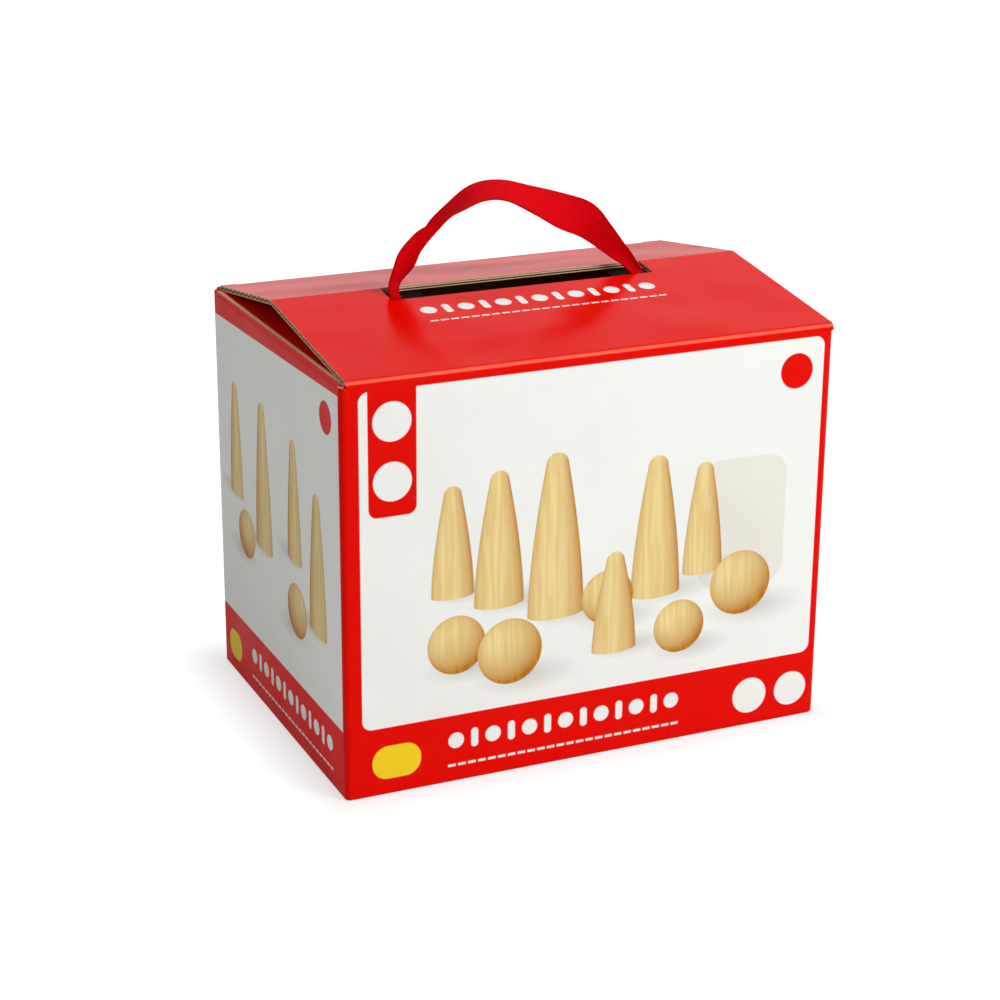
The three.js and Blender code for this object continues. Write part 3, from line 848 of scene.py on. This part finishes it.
def trimmer(outline):
    """A tall prism on an outline: the outline's line, filled and extruded."""
    prism = line_of("trimmer", [(x, y, -2 * BOARD) for x, y in outline])
    with editing(prism, "SELECT"):
        bpy.ops.mesh.edge_face_add()
        bpy.ops.mesh.extrude_region_move(TRANSFORM_OT_translate={"value": (0, 0, 3 * BOARD)})
    return outward(prism)


def axes(across, run, origin):
    """The placing of a flat drawing: its X, its Y and its origin. Z follows."""
    turned = Matrix((across, run, across.cross(run))).transposed().to_4x4()
    return Matrix.Translation(origin) @ turned


def tangent(first_run, second_run):
    """How far a rounded fold reaches back from its corner, between two panels' directions."""
    return FOLD_RADIUS * math.tan(first_run.angle(second_run) / 2)


def outer_face(origin, facing, edge=None):
    """Chooses 0 for a panel's outside, 2 for its end faces past edge if that is set, else 1."""
    def choose(middle, normal):
        if edge and abs(normal.x) > 0.9 and abs(middle.x) > edge:
            return 2
        on_top = (middle - origin).dot(facing) > -OUTER_LINER / 4
        return 0 if on_top and normal.dot(facing) > 0.9 else 1

    return choose


def lid_panel(name, start, end, reach, body, node, skin, shape):
    """A lid panel between two creases that run along X. reach is how far each fold eats into it, and
    shape gives its outline from its length."""
    run = (end - start).normalized()
    origin = start + run * (reach[0] + CREASE_FLAT)
    length = (end - start).length - reach[0] - reach[1] - 2 * CREASE_FLAT
    panel = corrugated(name, length, axes(to_right, run, origin), shape(length))
    paint(panel, [skin, kraft_lid, cut_edge], outer_face(origin, to_right.cross(run), LID_ENDS))
    return carries(smooth(panel, 20), body, "printed_board", node)


def crease_strip(name, start, first_run, second_run, along, ends, centre):
    """The outer skin of a rounded fold: a short flat, its edge spun round the fold's centre, and another
    short flat."""
    strip = added(name, bpy.ops.mesh.primitive_plane_add, size=1)
    for point in strip.data.vertices:
        edge = start - first_run * (CREASE_FLAT if point.co.y < 0 else 0)
        point.co = edge + along * ends[0 if point.co.x < 0 else 1]
    with editing(strip):
        pick_edges(strip, lambda first, second: (
            min((first - start).dot(first_run), (second - start).dot(first_run)) > -CREASE_FLAT / 2))
        bpy.ops.mesh.spin(steps=FOLD_STEPS, angle=first_run.angle(second_run), center=centre,
                          axis=second_run.cross(first_run).normalized())
        bpy.ops.mesh.extrude_edges_move(TRANSFORM_OT_translate={"value": second_run * CREASE_FLAT})
        bpy.ops.mesh.select_all(action="SELECT")
        bpy.ops.mesh.remove_doubles(threshold=MM / 1000)
    return strip


def rounded_fold(name, corner, first_run, second_run, along, ends, bodies, skin):
    """A rounded fold between two panels. first_run points to the corner and
    second_run away from it, and along is the fold's direction."""
    reach = tangent(first_run, second_run)
    facing = along.cross(first_run)
    start = corner - first_run * reach
    centre = start - facing * FOLD_RADIUS
    strip = boarded(crease_strip(name, start, first_run, second_run, along, ends, centre), facing)

    def choose(middle, normal):
        if abs(normal.dot(along)) > 0.5:
            return 0 if skin is front_print and middle.z < corner.z - PRINTED_END else 1
        to_middle = middle - centre
        to_middle -= along * to_middle.dot(along)
        on_arc = FOLD_RADIUS - BOARD / 3 < to_middle.length < FOLD_RADIUS + BOARD / 8
        on_flat = any(
            abs((middle - corner).dot(out)) < BOARD / 8 for out in (facing, along.cross(second_run)))
        return 0 if (on_flat or on_arc) and normal.dot(to_middle) > 0 else 1

    paint(strip, [skin, kraft_lid], choose)
    smooth(strip, 30)
    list(bodies)
    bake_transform(strip)
    return strip


# Sleeve of four walls with rounded creases
LID_GAP = 0.25 * MM
CREASE_END = 89.8 * MM
LEFT_CORNER_RISE = 0.8 * MM
REAR_CORNER_DROP = 1.3 * MM
dust_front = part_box("left_dust_flap")[0].y
front_reach = tangent(up, front_slope)
ridge_reach = tangent(front_slope, rear_slope)
tuck_reach = tangent(rear_slope, tuck_run)
dust_reach = FOLD_RADIUS


def pressed_under_lid(piece):
    """Presses a piece's ends down to just below the closed lid's two slopes."""
    for fold, slope_run in ((front_fold, front_slope), (tuck_fold, -rear_slope)):
        slope = math.atan2(slope_run.z, abs(slope_run.y))
        side = math.copysign(1, slope_run.y)
        drop = BOARD / math.cos(slope) + LID_GAP
        clear = fold.y + side * (WALL_TOP - fold.z + drop) / math.tan(slope)
        split_at(piece, (0, clear, 0), to_back)
        for point in piece.data.vertices:
            ceiling = fold.z + side * (point.co.y - fold.y) * math.tan(slope) - drop
            point.co.z = min(point.co.z, ceiling)
    return piece


def wall_sleeve():
    """Four walls round the contents: a cube with its upright and lower edges rounded and its top and
    floor taken out, then given the board's thickness inwards."""
    low = (-HALF_WIDTH, -HALF_DEPTH, 0)
    sleeve = block("wall_sleeve", low, (HALF_WIDTH, HALF_DEPTH, BACK_TOP))
    with editing(sleeve):
        pick_faces(sleeve, lambda middle, normal: normal.z > 0.9)
        bpy.ops.mesh.delete(type="FACE")
        round_edges(sleeve, upright, FOLD_RADIUS, FOLD_STEPS)
        round_edges(sleeve, lambda first, second: max(first.z, second.z) < MM / 10,
                    BASE_RADIUS, FOLD_STEPS)
        pick_faces(sleeve, lambda middle, normal: normal.z < -0.999)
        bpy.ops.mesh.delete(type="FACE")
    split_at(sleeve, (0, dust_front, 0), to_back)
    split_at(sleeve, (0, CREASE_END, 0), to_back)
    front_top = front_fold.z - front_reach - CREASE_FLAT
    for point in sleeve.data.vertices:
        if point.co.z > BACK_TOP - BOARD:
            on_front = point.co.y < -HALF_DEPTH + FOLD_RADIUS / 20
            on_back = point.co.y > HALF_DEPTH - FOLD_RADIUS / 20
            if on_front or point.co.y < dust_front - MM / 10:
                on_left = point.co.x < 0 and not on_front
                point.co.z = front_top + (LEFT_CORNER_RISE if on_left else 0)
            elif not on_back:
                creased = point.co.y < CREASE_END + MM / 10
                point.co.z = WALL_TOP - (dust_reach + CREASE_FLAT if creased else REAR_CORNER_DROP)
    boarded(sleeve)
    with editing(sleeve):
        pick_faces(sleeve, lambda middle, normal: normal.z > 0.9 and middle.z > BACK_TOP - BOARD / 2)
        bpy.ops.mesh.inset(thickness=INNER_LINER)
        bpy.ops.mesh.extrude_region_move(TRANSFORM_OT_translate={"value": (0, 0, -RIM_GROOVE)})

    def choose(middle, normal):
        inside = abs(middle.x) < INNER_X + BOARD / 4 and abs(middle.y) < INNER_Y + BOARD / 4
        rim = abs(normal.z) > 0.9 and middle.z > BOARD
        if rim or inside and (middle.z > BOARD / 2 or normal.z > 0):
            return 3
        if abs(middle.y) > INNER_Y and abs(middle.x) < HALF_WIDTH - FOLD_RADIUS * SIDE_PRINT_SHARE:
            return 0 if middle.y < 0 else 2
        return 1

    paint(sleeve, [front_print, side_print, back_print, kraft_walls], choose)
    return carries(smooth(sleeve, 30), "case", "printed_board", "carton_walls")


wall_sleeve()


# Lid panels and their creases
LID_LEFT_INSET = 1.1 * MM
LIP_SETBACK = 0.2 * MM
CORNER_GAP = 0.3 * MM
TUCK_CORNER = 8 * MM
lid_left = roof_low.x + LID_LEFT_INSET
lid_right = roof_high.x


def notched_roof(length):
    """The front slope's outline, with the hand slot cut into its ridge edge."""
    notch = length + ridge_reach + CREASE_FLAT - (ridge_fold.y - SLOT_FRONT) / front_slope.y
    return [
        (lid_left, 0), (lid_right, 0), (lid_right, length), (SLOT_RIGHT, length),
        (SLOT_RIGHT, notch + SLOT_CORNER), (SLOT_RIGHT - SLOT_CORNER, notch),
        (SLOT_LEFT + SLOT_CORNER, notch), (SLOT_LEFT, notch + SLOT_CORNER), (SLOT_LEFT, length),
        (lid_left, length),
    ]


def cornered_roof(length):
    """The rear slope's outline, cut back between its corners for the tuck flap's fold."""
    side = tuck_high.x + CORNER_GAP
    tip = length - CORNER_GAP
    fold = length - tuck_reach - CREASE_FLAT
    return [
        (lid_left, 0), (lid_right, 0), (lid_right, tip), (side, tip), (side, fold),
        (-side, fold), (-side, tip), (lid_left, tip),
    ]


def tapered_tuck(length):
    half = tuck_high.x
    return [
        (-half, 0), (half, 0), (half, length - TUCK_CORNER), (half - TUCK_CORNER, length),
        (-half + TUCK_CORNER, length), (-half, length - TUCK_CORNER),
    ]


lid_panel("front_slope", front_fold, ridge_fold, (front_reach, ridge_reach),
          "front_roof", "front_roof_panel", roof_print, notched_roof)
lid_panel("rear_slope", ridge_fold, tuck_fold, (ridge_reach, -CREASE_FLAT),
          "rear_roof", "rear_roof_panel", plain_print, cornered_roof)
lid_panel("tuck_panel", tuck_fold, tuck_tip, (tuck_reach, -CREASE_FLAT),
          "tuck", "tuck_flap", plain_print, tapered_tuck)
for name, corner, first_run, second_run, ends, bodies, skin in (
    ("front_crease", front_fold, up, front_slope, (lid_left, lid_right),
     ("case", "front_roof"), front_print),
    ("left_ridge_crease", ridge_fold, front_slope, rear_slope, (lid_left, SLOT_LEFT),
     ("front_roof", "rear_roof"), plain_print),
    ("right_ridge_crease", ridge_fold, front_slope, rear_slope, (SLOT_RIGHT, lid_right),
     ("front_roof", "rear_roof"), plain_print),
    ("tuck_crease", tuck_fold, rear_slope, tuck_run, (tuck_low.x, tuck_high.x),
     ("rear_roof", "tuck"), plain_print),
):
    rounded_fold(name, corner, first_run, second_run, to_right, ends, bodies, skin)


def slot_lip():
    """The rear slope's raw edge behind the hand slot: its liners meet the ridge line."""
    start = ridge_fold + rear_slope * LIP_SETBACK
    length = ridge_reach + CREASE_FLAT - LIP_SETBACK
    outline = [(SLOT_LEFT, 0), (SLOT_RIGHT, 0), (SLOT_RIGHT, length), (SLOT_LEFT, length)]
    lip = corrugated("slot_lip", length, axes(to_right, rear_slope, start), outline)
    paint(lip, [plain_print, cut_edge], outer_face(start, to_right.cross(rear_slope)))
    return carries(lip, "rear_roof", "printed_board")


slot_lip()


# Dust flaps, creased on the side walls
DUST_TAPER_SHARE = 0.5
DUST_REAR_TAPER = 10 * MM
CREASE_BOW = 1.1 * MM


def dust_flap(side):
    """side is -1 on the left and 1 on the right."""
    name = "left" if side < 0 else "right"
    node_low, node_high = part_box(f"{name}_dust_flap")
    corner = Vector((side * HALF_WIDTH, 0, WALL_TOP))
    run = Vector((-side, 0, 0))
    front = node_low.y
    back = node_high.y
    origin = corner + run * (dust_reach + CREASE_FLAT)
    length = HALF_WIDTH - min(abs(node_low.x), abs(node_high.x)) - dust_reach - CREASE_FLAT
    along = run.cross(up)
    slant = (length + dust_reach) * DUST_TAPER_SHARE
    outline = [
        (y * along.y, reach) for y, reach in (
            (front, 0), (front + slant, length), (back - DUST_REAR_TAPER, length),
            (back, length - DUST_REAR_TAPER), (back, 0))
    ]
    panel = corrugated(f"{name}_dust_panel", length, axes(along, run, origin), outline)
    paint(panel, [plain_print, kraft_flaps], outer_face(corner, up))
    pressed_under_lid(panel)
    carries(smooth(panel, 20), f"{name}_dust", "printed_board", f"{name}_dust_flap")
    ends = sorted((front * along.y, CREASE_END * along.y))
    bodies = ("case", f"{name}_dust")
    strip = rounded_fold(f"{name}_dust_crease", corner, up, run, along, ends, bodies, side_print)
    for point in strip.data.vertices:
        share = clamp((point.co.y - front) / (CREASE_END - front))
        rise = clamp((point.co.z - WALL_TOP) / dust_reach + 1)
        point.co.z += CREASE_BOW * math.sin(math.pi * share) * rise
    pressed_under_lid(strip)


dust_flap(-1)
dust_flap(1)


# Bottom flaps and the glued lap
OUTER_FLAP_HALF = 119.7 * MM
OUTER_FLAP_HEEL = 124.9 * MM
HEEL = 5 * MM
MEETING_GAP = 0.2 * MM
INNER_FLAP_HALF = 84.8 * MM
INNER_FLAP_RISE = 2.8 * MM
JOGGLE = 5 * MM
LAP_EDGE = 0.4 * MM


def outer_flap(name, side):
    """side is -1 at the front and 1 at the back."""
    hinge = Vector((0, side * (HALF_DEPTH - BASE_RADIUS), 0))
    length = HALF_DEPTH - BASE_RADIUS - MEETING_GAP
    right = [(OUTER_FLAP_HEEL, 0), (OUTER_FLAP_HEEL, HEEL), (OUTER_FLAP_HALF, HEEL),
             (OUTER_FLAP_HALF, length)]
    outline = right + [(-x, y) for x, y in reversed(right)]
    panel = corrugated(f"{name}_board", length, axes(to_right * side, to_back * -side, hinge), outline)
    paint(panel, [plain_print, kraft_lid], outer_face(hinge, -up))
    return carries(panel, "case", "printed_board", f"{name}_flap")


def inner_flap(name, side):
    """side is -1 on the left and 1 on the right. It steps up onto the outer pair."""
    node_low, node_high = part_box(name)
    tip = min(abs(node_low.x), abs(node_high.x))
    edge = HALF_WIDTH - BASE_RADIUS
    route = [(edge, 0), (edge - MM, 0), (edge - MM - JOGGLE, INNER_FLAP_RISE), (tip, INNER_FLAP_RISE)]
    board = swept(line_of(name, [(0, side * x, z) for x, z in route]), -INNER_FLAP_HALF, INNER_FLAP_HALF)
    board.data.transform(Matrix.Rotation(-math.pi / 2, 4, "Z"))
    paint(boarded(board, -up), [kraft_flaps])
    return carries(board, "case", "plain_board", name)


def lap():
    low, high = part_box("glue_lap")
    board = block("glue_lap_board", low, high)
    with editing(board):
        round_edges(board, lambda first, second: max(first.y, second.y) < low.y + MM / 10, LAP_EDGE, 2)
    paint(board, [kraft_walls])
    return carries(board, "case", "plain_board", "glue_lap")


outer_flap("front_bottom", -1)
outer_flap("back_bottom", 1)
inner_flap("left_bottom_flap", -1)
inner_flap("right_bottom_flap", 1)
lap()


# Ribbon handle
RIBBON_WIDTH = 17 * MM
RIBBON_THICKNESS = 0.8 * MM
RIBBON_ACROSS = 12
RIBBON_STEPS = 12
RIBBON_MIDDLE = 1.8
RIBBON_WAVE = 0.5 * MM
RIBBON_FLUTTER = 0.22 * MM
FOOT_LEAN = 4 * MM
LEAN_START_SHARE = 0.32
LEAN_RUN_SHARE = 0.12
# Each curl's depth, then its middle and its spread as shares of the length
RIBBON_CURLS = ((5.6 * MM, 0.355, 0.075), (1.6 * MM, 0.87, 0.06))
# Each row: X and height over the middle of the lid board at the slot, in mm, then turn about the
# ribbon's own line in degrees, share of its width, and how far the turn is held level
RIBBON_ROUTE = [
    (-66, -2.2, -90, 0.36, 1),
    (-65.9, -0.8, -76, 0.38, 1),
    (-65.6, 1, -52, 0.46, 1),
    (-64.9, 4.6, -47, 0.74, 0.3),
    (-62.4, 10, -49, 0.95, 0),
    (-57.4, 17.4, -59, 1, 0),
    (-50.4, 24.6, -49, 0.9, 0),
    (-43.4, 31.4, -20, 0.88, 0),
    (-34.5, 38.8, -2, 1, 0),
    (-21.2, 46.8, 15, 1, 0),
    (-6.5, 47.2, 26, 1, 0),
    (11.2, 40.5, 44, 1.03, 0),
    (26, 33.9, 70, 1.07, 0),
    (37.7, 28.9, 93, 1.06, 0),
    (46.7, 21.2, 108, 0.86, 0),
    (56.2, 11.8, 108, 0.63, 0),
    (62.4, 5.6, 104, 0.5, 0.7),
    (65.9, 0.6, 98, 0.44, 1),
    (66.8, -0.9, 93, 0.4, 1),
    (67, -2.2, 90, 0.37, 1),
]


def on_route(rows, share):
    """The values a share of the way through rows, on a smooth curve through them all."""
    place = share * (len(rows) - 1)
    index = min(int(place), len(rows) - 2)
    along = place - index
    before, first, second, after = (
        np.array(rows[max(0, min(len(rows) - 1, index + offset))], float) for offset in (-1, 0, 1, 2))
    return first + 0.5 * along * (
        second - before + along * (
            2 * before - 5 * first + 4 * second - after
            + along * (3 * (first - second) + after - before)))


def ribbon_frame(share):
    """The ribbon's place, its width's direction, its face's direction and its width, at a share of
    its length."""
    x, rise, turn, wide, held = on_route(RIBBON_ROUTE, share)
    step = 1e-3
    before = on_route(RIBBON_ROUTE, max(share - step, 0))
    after = on_route(RIBBON_ROUTE, min(share + step, 1))
    run = Vector((after[0] - before[0], 0, after[1] - before[1])).normalized()
    flat = to_right if x > RIBBON_MIDDLE else -to_right
    out = Vector((-run.z, 0, run.x)).lerp(flat, clamp(held)).normalized()
    angle = math.radians(turn)
    across = (to_back * math.cos(angle) + out * math.sin(angle)).normalized()
    lean = FOOT_LEAN * clamp((abs(share - 0.5) - LEAN_START_SHARE) / LEAN_RUN_SHARE)
    place = Vector((x * MM, handle_pivot.y - lean, handle_pivot.z + rise * MM))
    return place, across, run.cross(across).normalized(), RIBBON_WIDTH * wide


def ribbon_hollow(share, side):
    """How far a point stands out of the ribbon's plane, from its share of the length and its place
    across, -0.5 to 0.5: the width is cupped and its edges flutter, but not at the feet."""
    curl = RIBBON_WAVE * math.sin(share * 9 + 0.6)
    for depth, middle, spread in RIBBON_CURLS:
        curl += depth * math.exp(-((share - middle) / spread) ** 2)
    flutter = RIBBON_FLUTTER * math.sin(share * 34 + side * 5) * abs(side) * 2
    return math.sin(share * math.pi) ** 0.5 * (curl * (4 * side * side - 0.35) + flutter)


def ribbon():
    steps = (len(RIBBON_ROUTE) - 1) * RIBBON_STEPS
    band = added("ribbon", bpy.ops.mesh.primitive_grid_add, size=1, x_subdivisions=steps,
                 y_subdivisions=RIBBON_ACROSS)
    for point in band.data.vertices:
        share = clamp(point.co.x + 0.5)
        side = point.co.y
        place, across, facing, width = ribbon_frame(share)
        point.co = place + across * (side * width) + facing * ribbon_hollow(share, side)
    thickened(band, RIBBON_THICKNESS)
    places = [on_route(RIBBON_ROUTE, step / steps) for step in range(steps + 1)]
    length = sum(math.hypot(*(second - first)[:2]) * MM for first, second in zip(places, places[1:]))
    paint(band, [ribbon_finish("ribbon weave", length, RIBBON_WIDTH)])
    return carries(smooth(band, 50), "handle", "ribbon", "handle_ribbon")


ribbon()


# Plates under the slot that hold the ribbon's feet
PLATE = Vector((26, 16, 2)) * MM
PLATE_AHEAD = 2.2 * MM
PLATE_TOP = -1.55 * MM
PLATE_CORNER = 3 * MM
PLATE_EDGE = 0.35 * MM
BOSS = Vector((11, 3, 1.75)) * MM
BOSS_EDGE = 0.3 * MM


def anchor_plate(name, plate_x, foot_x):
    """A plate with rounded corners and edges, lying in the lid's slope, and its boss under the foot."""
    low = Vector((-PLATE.x / 2, -PLATE.y / 2 - PLATE_AHEAD, PLATE_TOP - PLATE.z))
    plate = block(f"{name}_body", low, low + PLATE)
    with editing(plate):
        round_edges(plate, upright, PLATE_CORNER, 6)
        round_edges(plate, level, PLATE_EDGE, 3)
    boss_low = Vector((foot_x - plate_x - BOSS.x / 2, -FOOT_LEAN - BOSS.y / 2, PLATE_TOP - MM))
    boss = block(f"{name}_boss", boss_low, boss_low + BOSS)
    combined(plate, modified(boss, "BEVEL", width=BOSS_EDGE, segments=3), "UNION")
    slope = math.atan2(front_slope.z, front_slope.y)
    place = Matrix.Translation((plate_x, handle_pivot.y, handle_pivot.z))
    plate.matrix_world = place @ Matrix.Rotation(slope, 4, "X")
    finished(plate)
    paint(plate, [plastic])
    return carries(smooth(plate, 35), "front_roof", "anchor_plastic", name)


anchor_plate("left_anchor_plate", -62.8 * MM, -65.4 * MM)
anchor_plate("right_anchor_plate", 66.4 * MM, 67 * MM)


# Turned pins and balls
PIN_HEIGHT = 196 * MM
PIN_RADIUS = 23 * MM
# Each row: share of the height, then share of the radius
PIN_ROWS = (
    (0, 0.6), (0.015, 0.66), (0.06, 0.78), (0.14, 0.92), (0.24, 1), (0.34, 0.985), (0.44, 0.88),
    (0.54, 0.7), (0.63, 0.55), (0.71, 0.49), (0.78, 0.52), (0.84, 0.62), (0.9, 0.66), (0.95, 0.58),
    (0.985, 0.36), (1, 0),
)
PIN_ROW_STEPS = 4
PIN_BASE_SHARE = 0.57
PIN_LIFT_SHARE = 0.0015
PIN_COUNT = 10
BALL_RADIUS = 32 * MM
TURNED_STEPS = 56


def turned_piece(name, rows):
    """A line of (radius, height) points spun about the upright axis."""
    piece = line_of(name, [(radius, 0, height) for radius, height in rows])
    with editing(piece, "SELECT"):
        bpy.ops.mesh.spin(steps=TURNED_STEPS, angle=2 * math.pi, center=(0, 0, 0), axis=(0, 0, 1))
        bpy.ops.mesh.select_all(action="SELECT")
        bpy.ops.mesh.remove_doubles(threshold=MM / 100)
    return outward(piece)


def pins():
    steps = PIN_ROW_STEPS * (len(PIN_ROWS) - 1)
    curve = [on_route(PIN_ROWS, step / steps) for step in range(steps + 1)]
    rows = [(0, 0), (PIN_RADIUS * PIN_BASE_SHARE, 0)]
    rows += [(max(radius, 0) * PIN_RADIUS, min(max(height, PIN_LIFT_SHARE), 1) * PIN_HEIGHT)
             for height, radius in curve]
    model = smooth(turned_piece("pin_model", rows), 60)
    for number in range(1, PIN_COUNT + 1):
        node_low, node_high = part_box(f"pin_{number}")
        pin = copied(model, f"turned_pin_{number}")
        middle = (node_low + node_high) / 2
        pin.matrix_world = Matrix.Translation((middle.x, middle.y, node_low.z))
        finished(pin)
        paint(pin, [pin_wood])
        carries(pin, "case", "pin_wood", f"pin_{number}")
    bpy.data.objects.remove(model, do_unlink=True)


def balls():
    for number in (1, 2):
        node_low, node_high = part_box(f"ball_{number}")
        ball = added(f"turned_ball_{number}", bpy.ops.mesh.primitive_uv_sphere_add, segments=64,
                     ring_count=40, radius=BALL_RADIUS, location=(node_low + node_high) / 2)
        paint(finished(ball), [ball_wood])
        carries(smooth(ball, 60), "case", "ball_wood", f"ball_{number}")


pins()
balls()


# The calico bag, folded up from its bottom and then across: eight layers
BAG_WIDTH = 214 * MM
BAG_FOLDED_HEIGHT = 146 * MM
CLOTH = 0.6 * MM
LAYER = 1.62 * MM
INNERMOST = 0.85 * MM
MEAN_OFFSET = 2.2 * MM
BAG_COLUMNS = 84
BAG_ROWS = 26
LONG_SWAY = 0.42 * MM
SHORT_SWAY = 0.3 * MM
BAG_DROOP = 0.5 * MM
STRAP_GAP = 0.1 * MM
STRAP_FILL = 0.94
STRAP_EDGE = 0.15 * MM
STRAP_TURN_STEPS = 10
bag_low, bag_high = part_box("tote_bag")


def upright_fold():
    """The fold from the bag's bottom as (layer, height) points from one hem to the other."""
    top = BAG_FOLDED_HEIGHT
    points = []

    def turn(middle, radius, height, start, end, steps):
        for step in range(1, steps):
            angle = math.radians(start + (end - start) * step / steps)
            across = middle + radius * math.cos(angle)
            points.append((across, height + radius * LAYER * math.sin(angle)))

    def straight(layer, start, end):
        for step in range(BAG_ROWS + 1):
            points.append((layer, start + (end - start) * step / BAG_ROWS))

    outer = 1.5 * LAYER
    straight(3, top, outer)
    turn(1.5, 1.5, outer, 0, -180, 8)
    straight(0, outer, top - 0.5 * LAYER)
    turn(0.5, 0.5, top - 0.5 * LAYER, 180, 0, 6)
    straight(1, top - 0.5 * LAYER, outer + 0.2 * LAYER)
    turn(1.5, 0.5, outer + 0.2 * LAYER, 180, 360, 6)
    straight(2, outer + 0.2 * LAYER, top)
    return points


def bag():
    fold = upright_fold()
    cloth = added("folded_bag", bpy.ops.mesh.primitive_grid_add, size=1, x_subdivisions=BAG_COLUMNS,
                  y_subdivisions=len(fold) - 1)
    middle = (bag_low + bag_high) / 2
    turn_x = bag_low.x + 3.5 * LAYER + INNERMOST
    for point in cloth.data.vertices:
        share = point.co.x + 0.5
        layer, height = fold[round((point.co.y + 0.5) * (len(fold) - 1))]
        offset = INNERMOST + layer * LAYER
        arc = math.pi * offset
        arm = (BAG_WIDTH - math.pi * (offset / 2 + MEAN_OFFSET)) / 2
        run = share * (2 * arm + arc)
        if run < arm:
            x, y = turn_x + arm - run, -offset
        elif run > arm + arc:
            x, y = turn_x + run - arm - arc, offset
        else:
            angle = (run - arm) / offset
            x, y = turn_x - offset * math.sin(angle), -offset * math.cos(angle)
        across = (x - bag_low.x) / (bag_high.x - bag_low.x)
        rise = height / BAG_FOLDED_HEIGHT
        sway = LONG_SWAY * math.sin(across * 7 + rise * 3)
        sway += SHORT_SWAY * math.sin(rise * 9 - across * 4)
        droop = BAG_DROOP * math.sin(across * 11 + layer) * rise
        point.co = (x, middle.y + y + sway, bag_low.z + CLOTH / 2 + height + droop)
    paint(thickened(cloth, CLOTH), [calico])
    return carries(smooth(cloth, 60), "case", "calico", "tote_bag")


def bag_strap(name):
    """A webbing handle laid double down the bag's front, with its fold at the bottom."""
    low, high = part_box(name)
    layer = (high.y - low.y - STRAP_GAP) / 2
    radius = layer / 2
    middle = (low.y + high.y) / 2
    route = [(0, middle - radius, high.z)]
    for step in range(STRAP_TURN_STEPS + 1):
        angle = math.pi * (1 + step / STRAP_TURN_STEPS)
        route.append((0, middle + radius * math.cos(angle), low.z + layer + radius * math.sin(angle)))
    route.append((0, middle + radius, high.z))
    tape = swept(line_of(f"{name}_tape", route), low.x, high.x)
    modified(thickened(tape, layer * STRAP_FILL), "BEVEL", width=STRAP_EDGE, segments=2)
    paint(tape, [calico])
    return carries(smooth(tape, 40), "case", "calico", name)


bag()
bag_strap("left_bag_strap")
bag_strap("right_bag_strap")


# Studio
def camera():
    """The photograph's view: place, heading, downward tilt and roll."""
    place = Vector((-0.48641, -1.06165, 0.52716))
    azimuth, tilt, roll = math.radians(24.262), math.radians(19.909), math.radians(0.415)
    made = added("camera", bpy.ops.object.camera_add, location=place)
    turned = Euler((math.pi / 2 - tilt, 0, -azimuth)).to_matrix() @ Matrix.Rotation(roll, 3, "Z")
    made.matrix_world = Matrix.Translation(place) @ turned.to_4x4()
    made.data.lens = 86.57
    made.data.sensor_width = 36
    bpy.context.scene.camera = made


def area_light(name, place, size, power):
    lamp = added(name, bpy.ops.object.light_add, type="AREA", location=place)
    lamp.data.shape = "DISK"
    lamp.data.size = size
    lamp.data.energy = power
    aim = Vector((0, 0, 0.1)) - Vector(place)
    lamp.rotation_euler = aim.to_track_quat("-Z", "Y").to_euler()


SHADOW_REACH = 48 * MM


def floor():
    """A white table that shows pure white to the camera, with a soft shadow close to the box."""
    table = added("table", bpy.ops.mesh.primitive_plane_add, size=12)
    finish = Finish("white table")
    finish.tree.nodes.remove(finish.shader)
    point = finish.node("ShaderNodeTexCoord").part("Object")
    reach = finish.reach_beyond(point, (HALF_WIDTH, HALF_DEPTH, 0))
    far = (reach * (0.5 / SHADOW_REACH) + 0.5).clamped()
    share = far * finish.node("ShaderNodeLightPath").part("Is Camera Ray")
    lit = finish.node("ShaderNodeBsdfDiffuse", inputs={"Color": (0.8, 0.8, 0.8, 1)})
    glow = finish.node("ShaderNodeEmission", inputs={"Strength": 1.2})
    mixed = finish.node("ShaderNodeMixShader", inputs={0: share, 1: lit, 2: glow})
    output = finish.tree.nodes["Material Output"]
    finish.tree.links.new(mixed.socket, output.inputs["Surface"])
    table.data.materials.append(finish.material)


def world():
    """Soft grey light all round, which the camera and reflections see as white."""
    sky = bpy.data.worlds.new("studio")
    bpy.context.scene.world = sky
    sky.use_nodes = True
    tree = sky.node_tree
    tree.nodes.clear()
    output = tree.nodes.new("ShaderNodeOutputWorld")
    mixed = tree.nodes.new("ShaderNodeMixShader")
    for socket, strength in ((1, 0.33), (2, 1.02)):
        shade = tree.nodes.new("ShaderNodeBackground")
        shade.inputs["Color"].default_value = (1, 1, 1, 1)
        shade.inputs["Strength"].default_value = strength
        tree.links.new(shade.outputs[0], mixed.inputs[socket])
    rays = tree.nodes.new("ShaderNodeLightPath")
    seen = tree.nodes.new("ShaderNodeMath")
    seen.operation = "MAXIMUM"
    tree.links.new(rays.outputs["Is Camera Ray"], seen.inputs[0])
    tree.links.new(rays.outputs["Is Glossy Ray"], seen.inputs[1])
    tree.links.new(seen.outputs[0], mixed.inputs[0])
    tree.links.new(mixed.outputs[0], output.inputs["Surface"])


camera()
floor()
world()
area_light("key", (1.1, -1.7, 1.5), size=1.2, power=40)
area_light("top", (0.1, 0.2, 2.0), size=1.4, power=8)
area_light("left fill", (-1.9, -0.6, 0.4), size=1.0, power=2)

bpy.context.scene.view_settings.view_transform = "Standard"
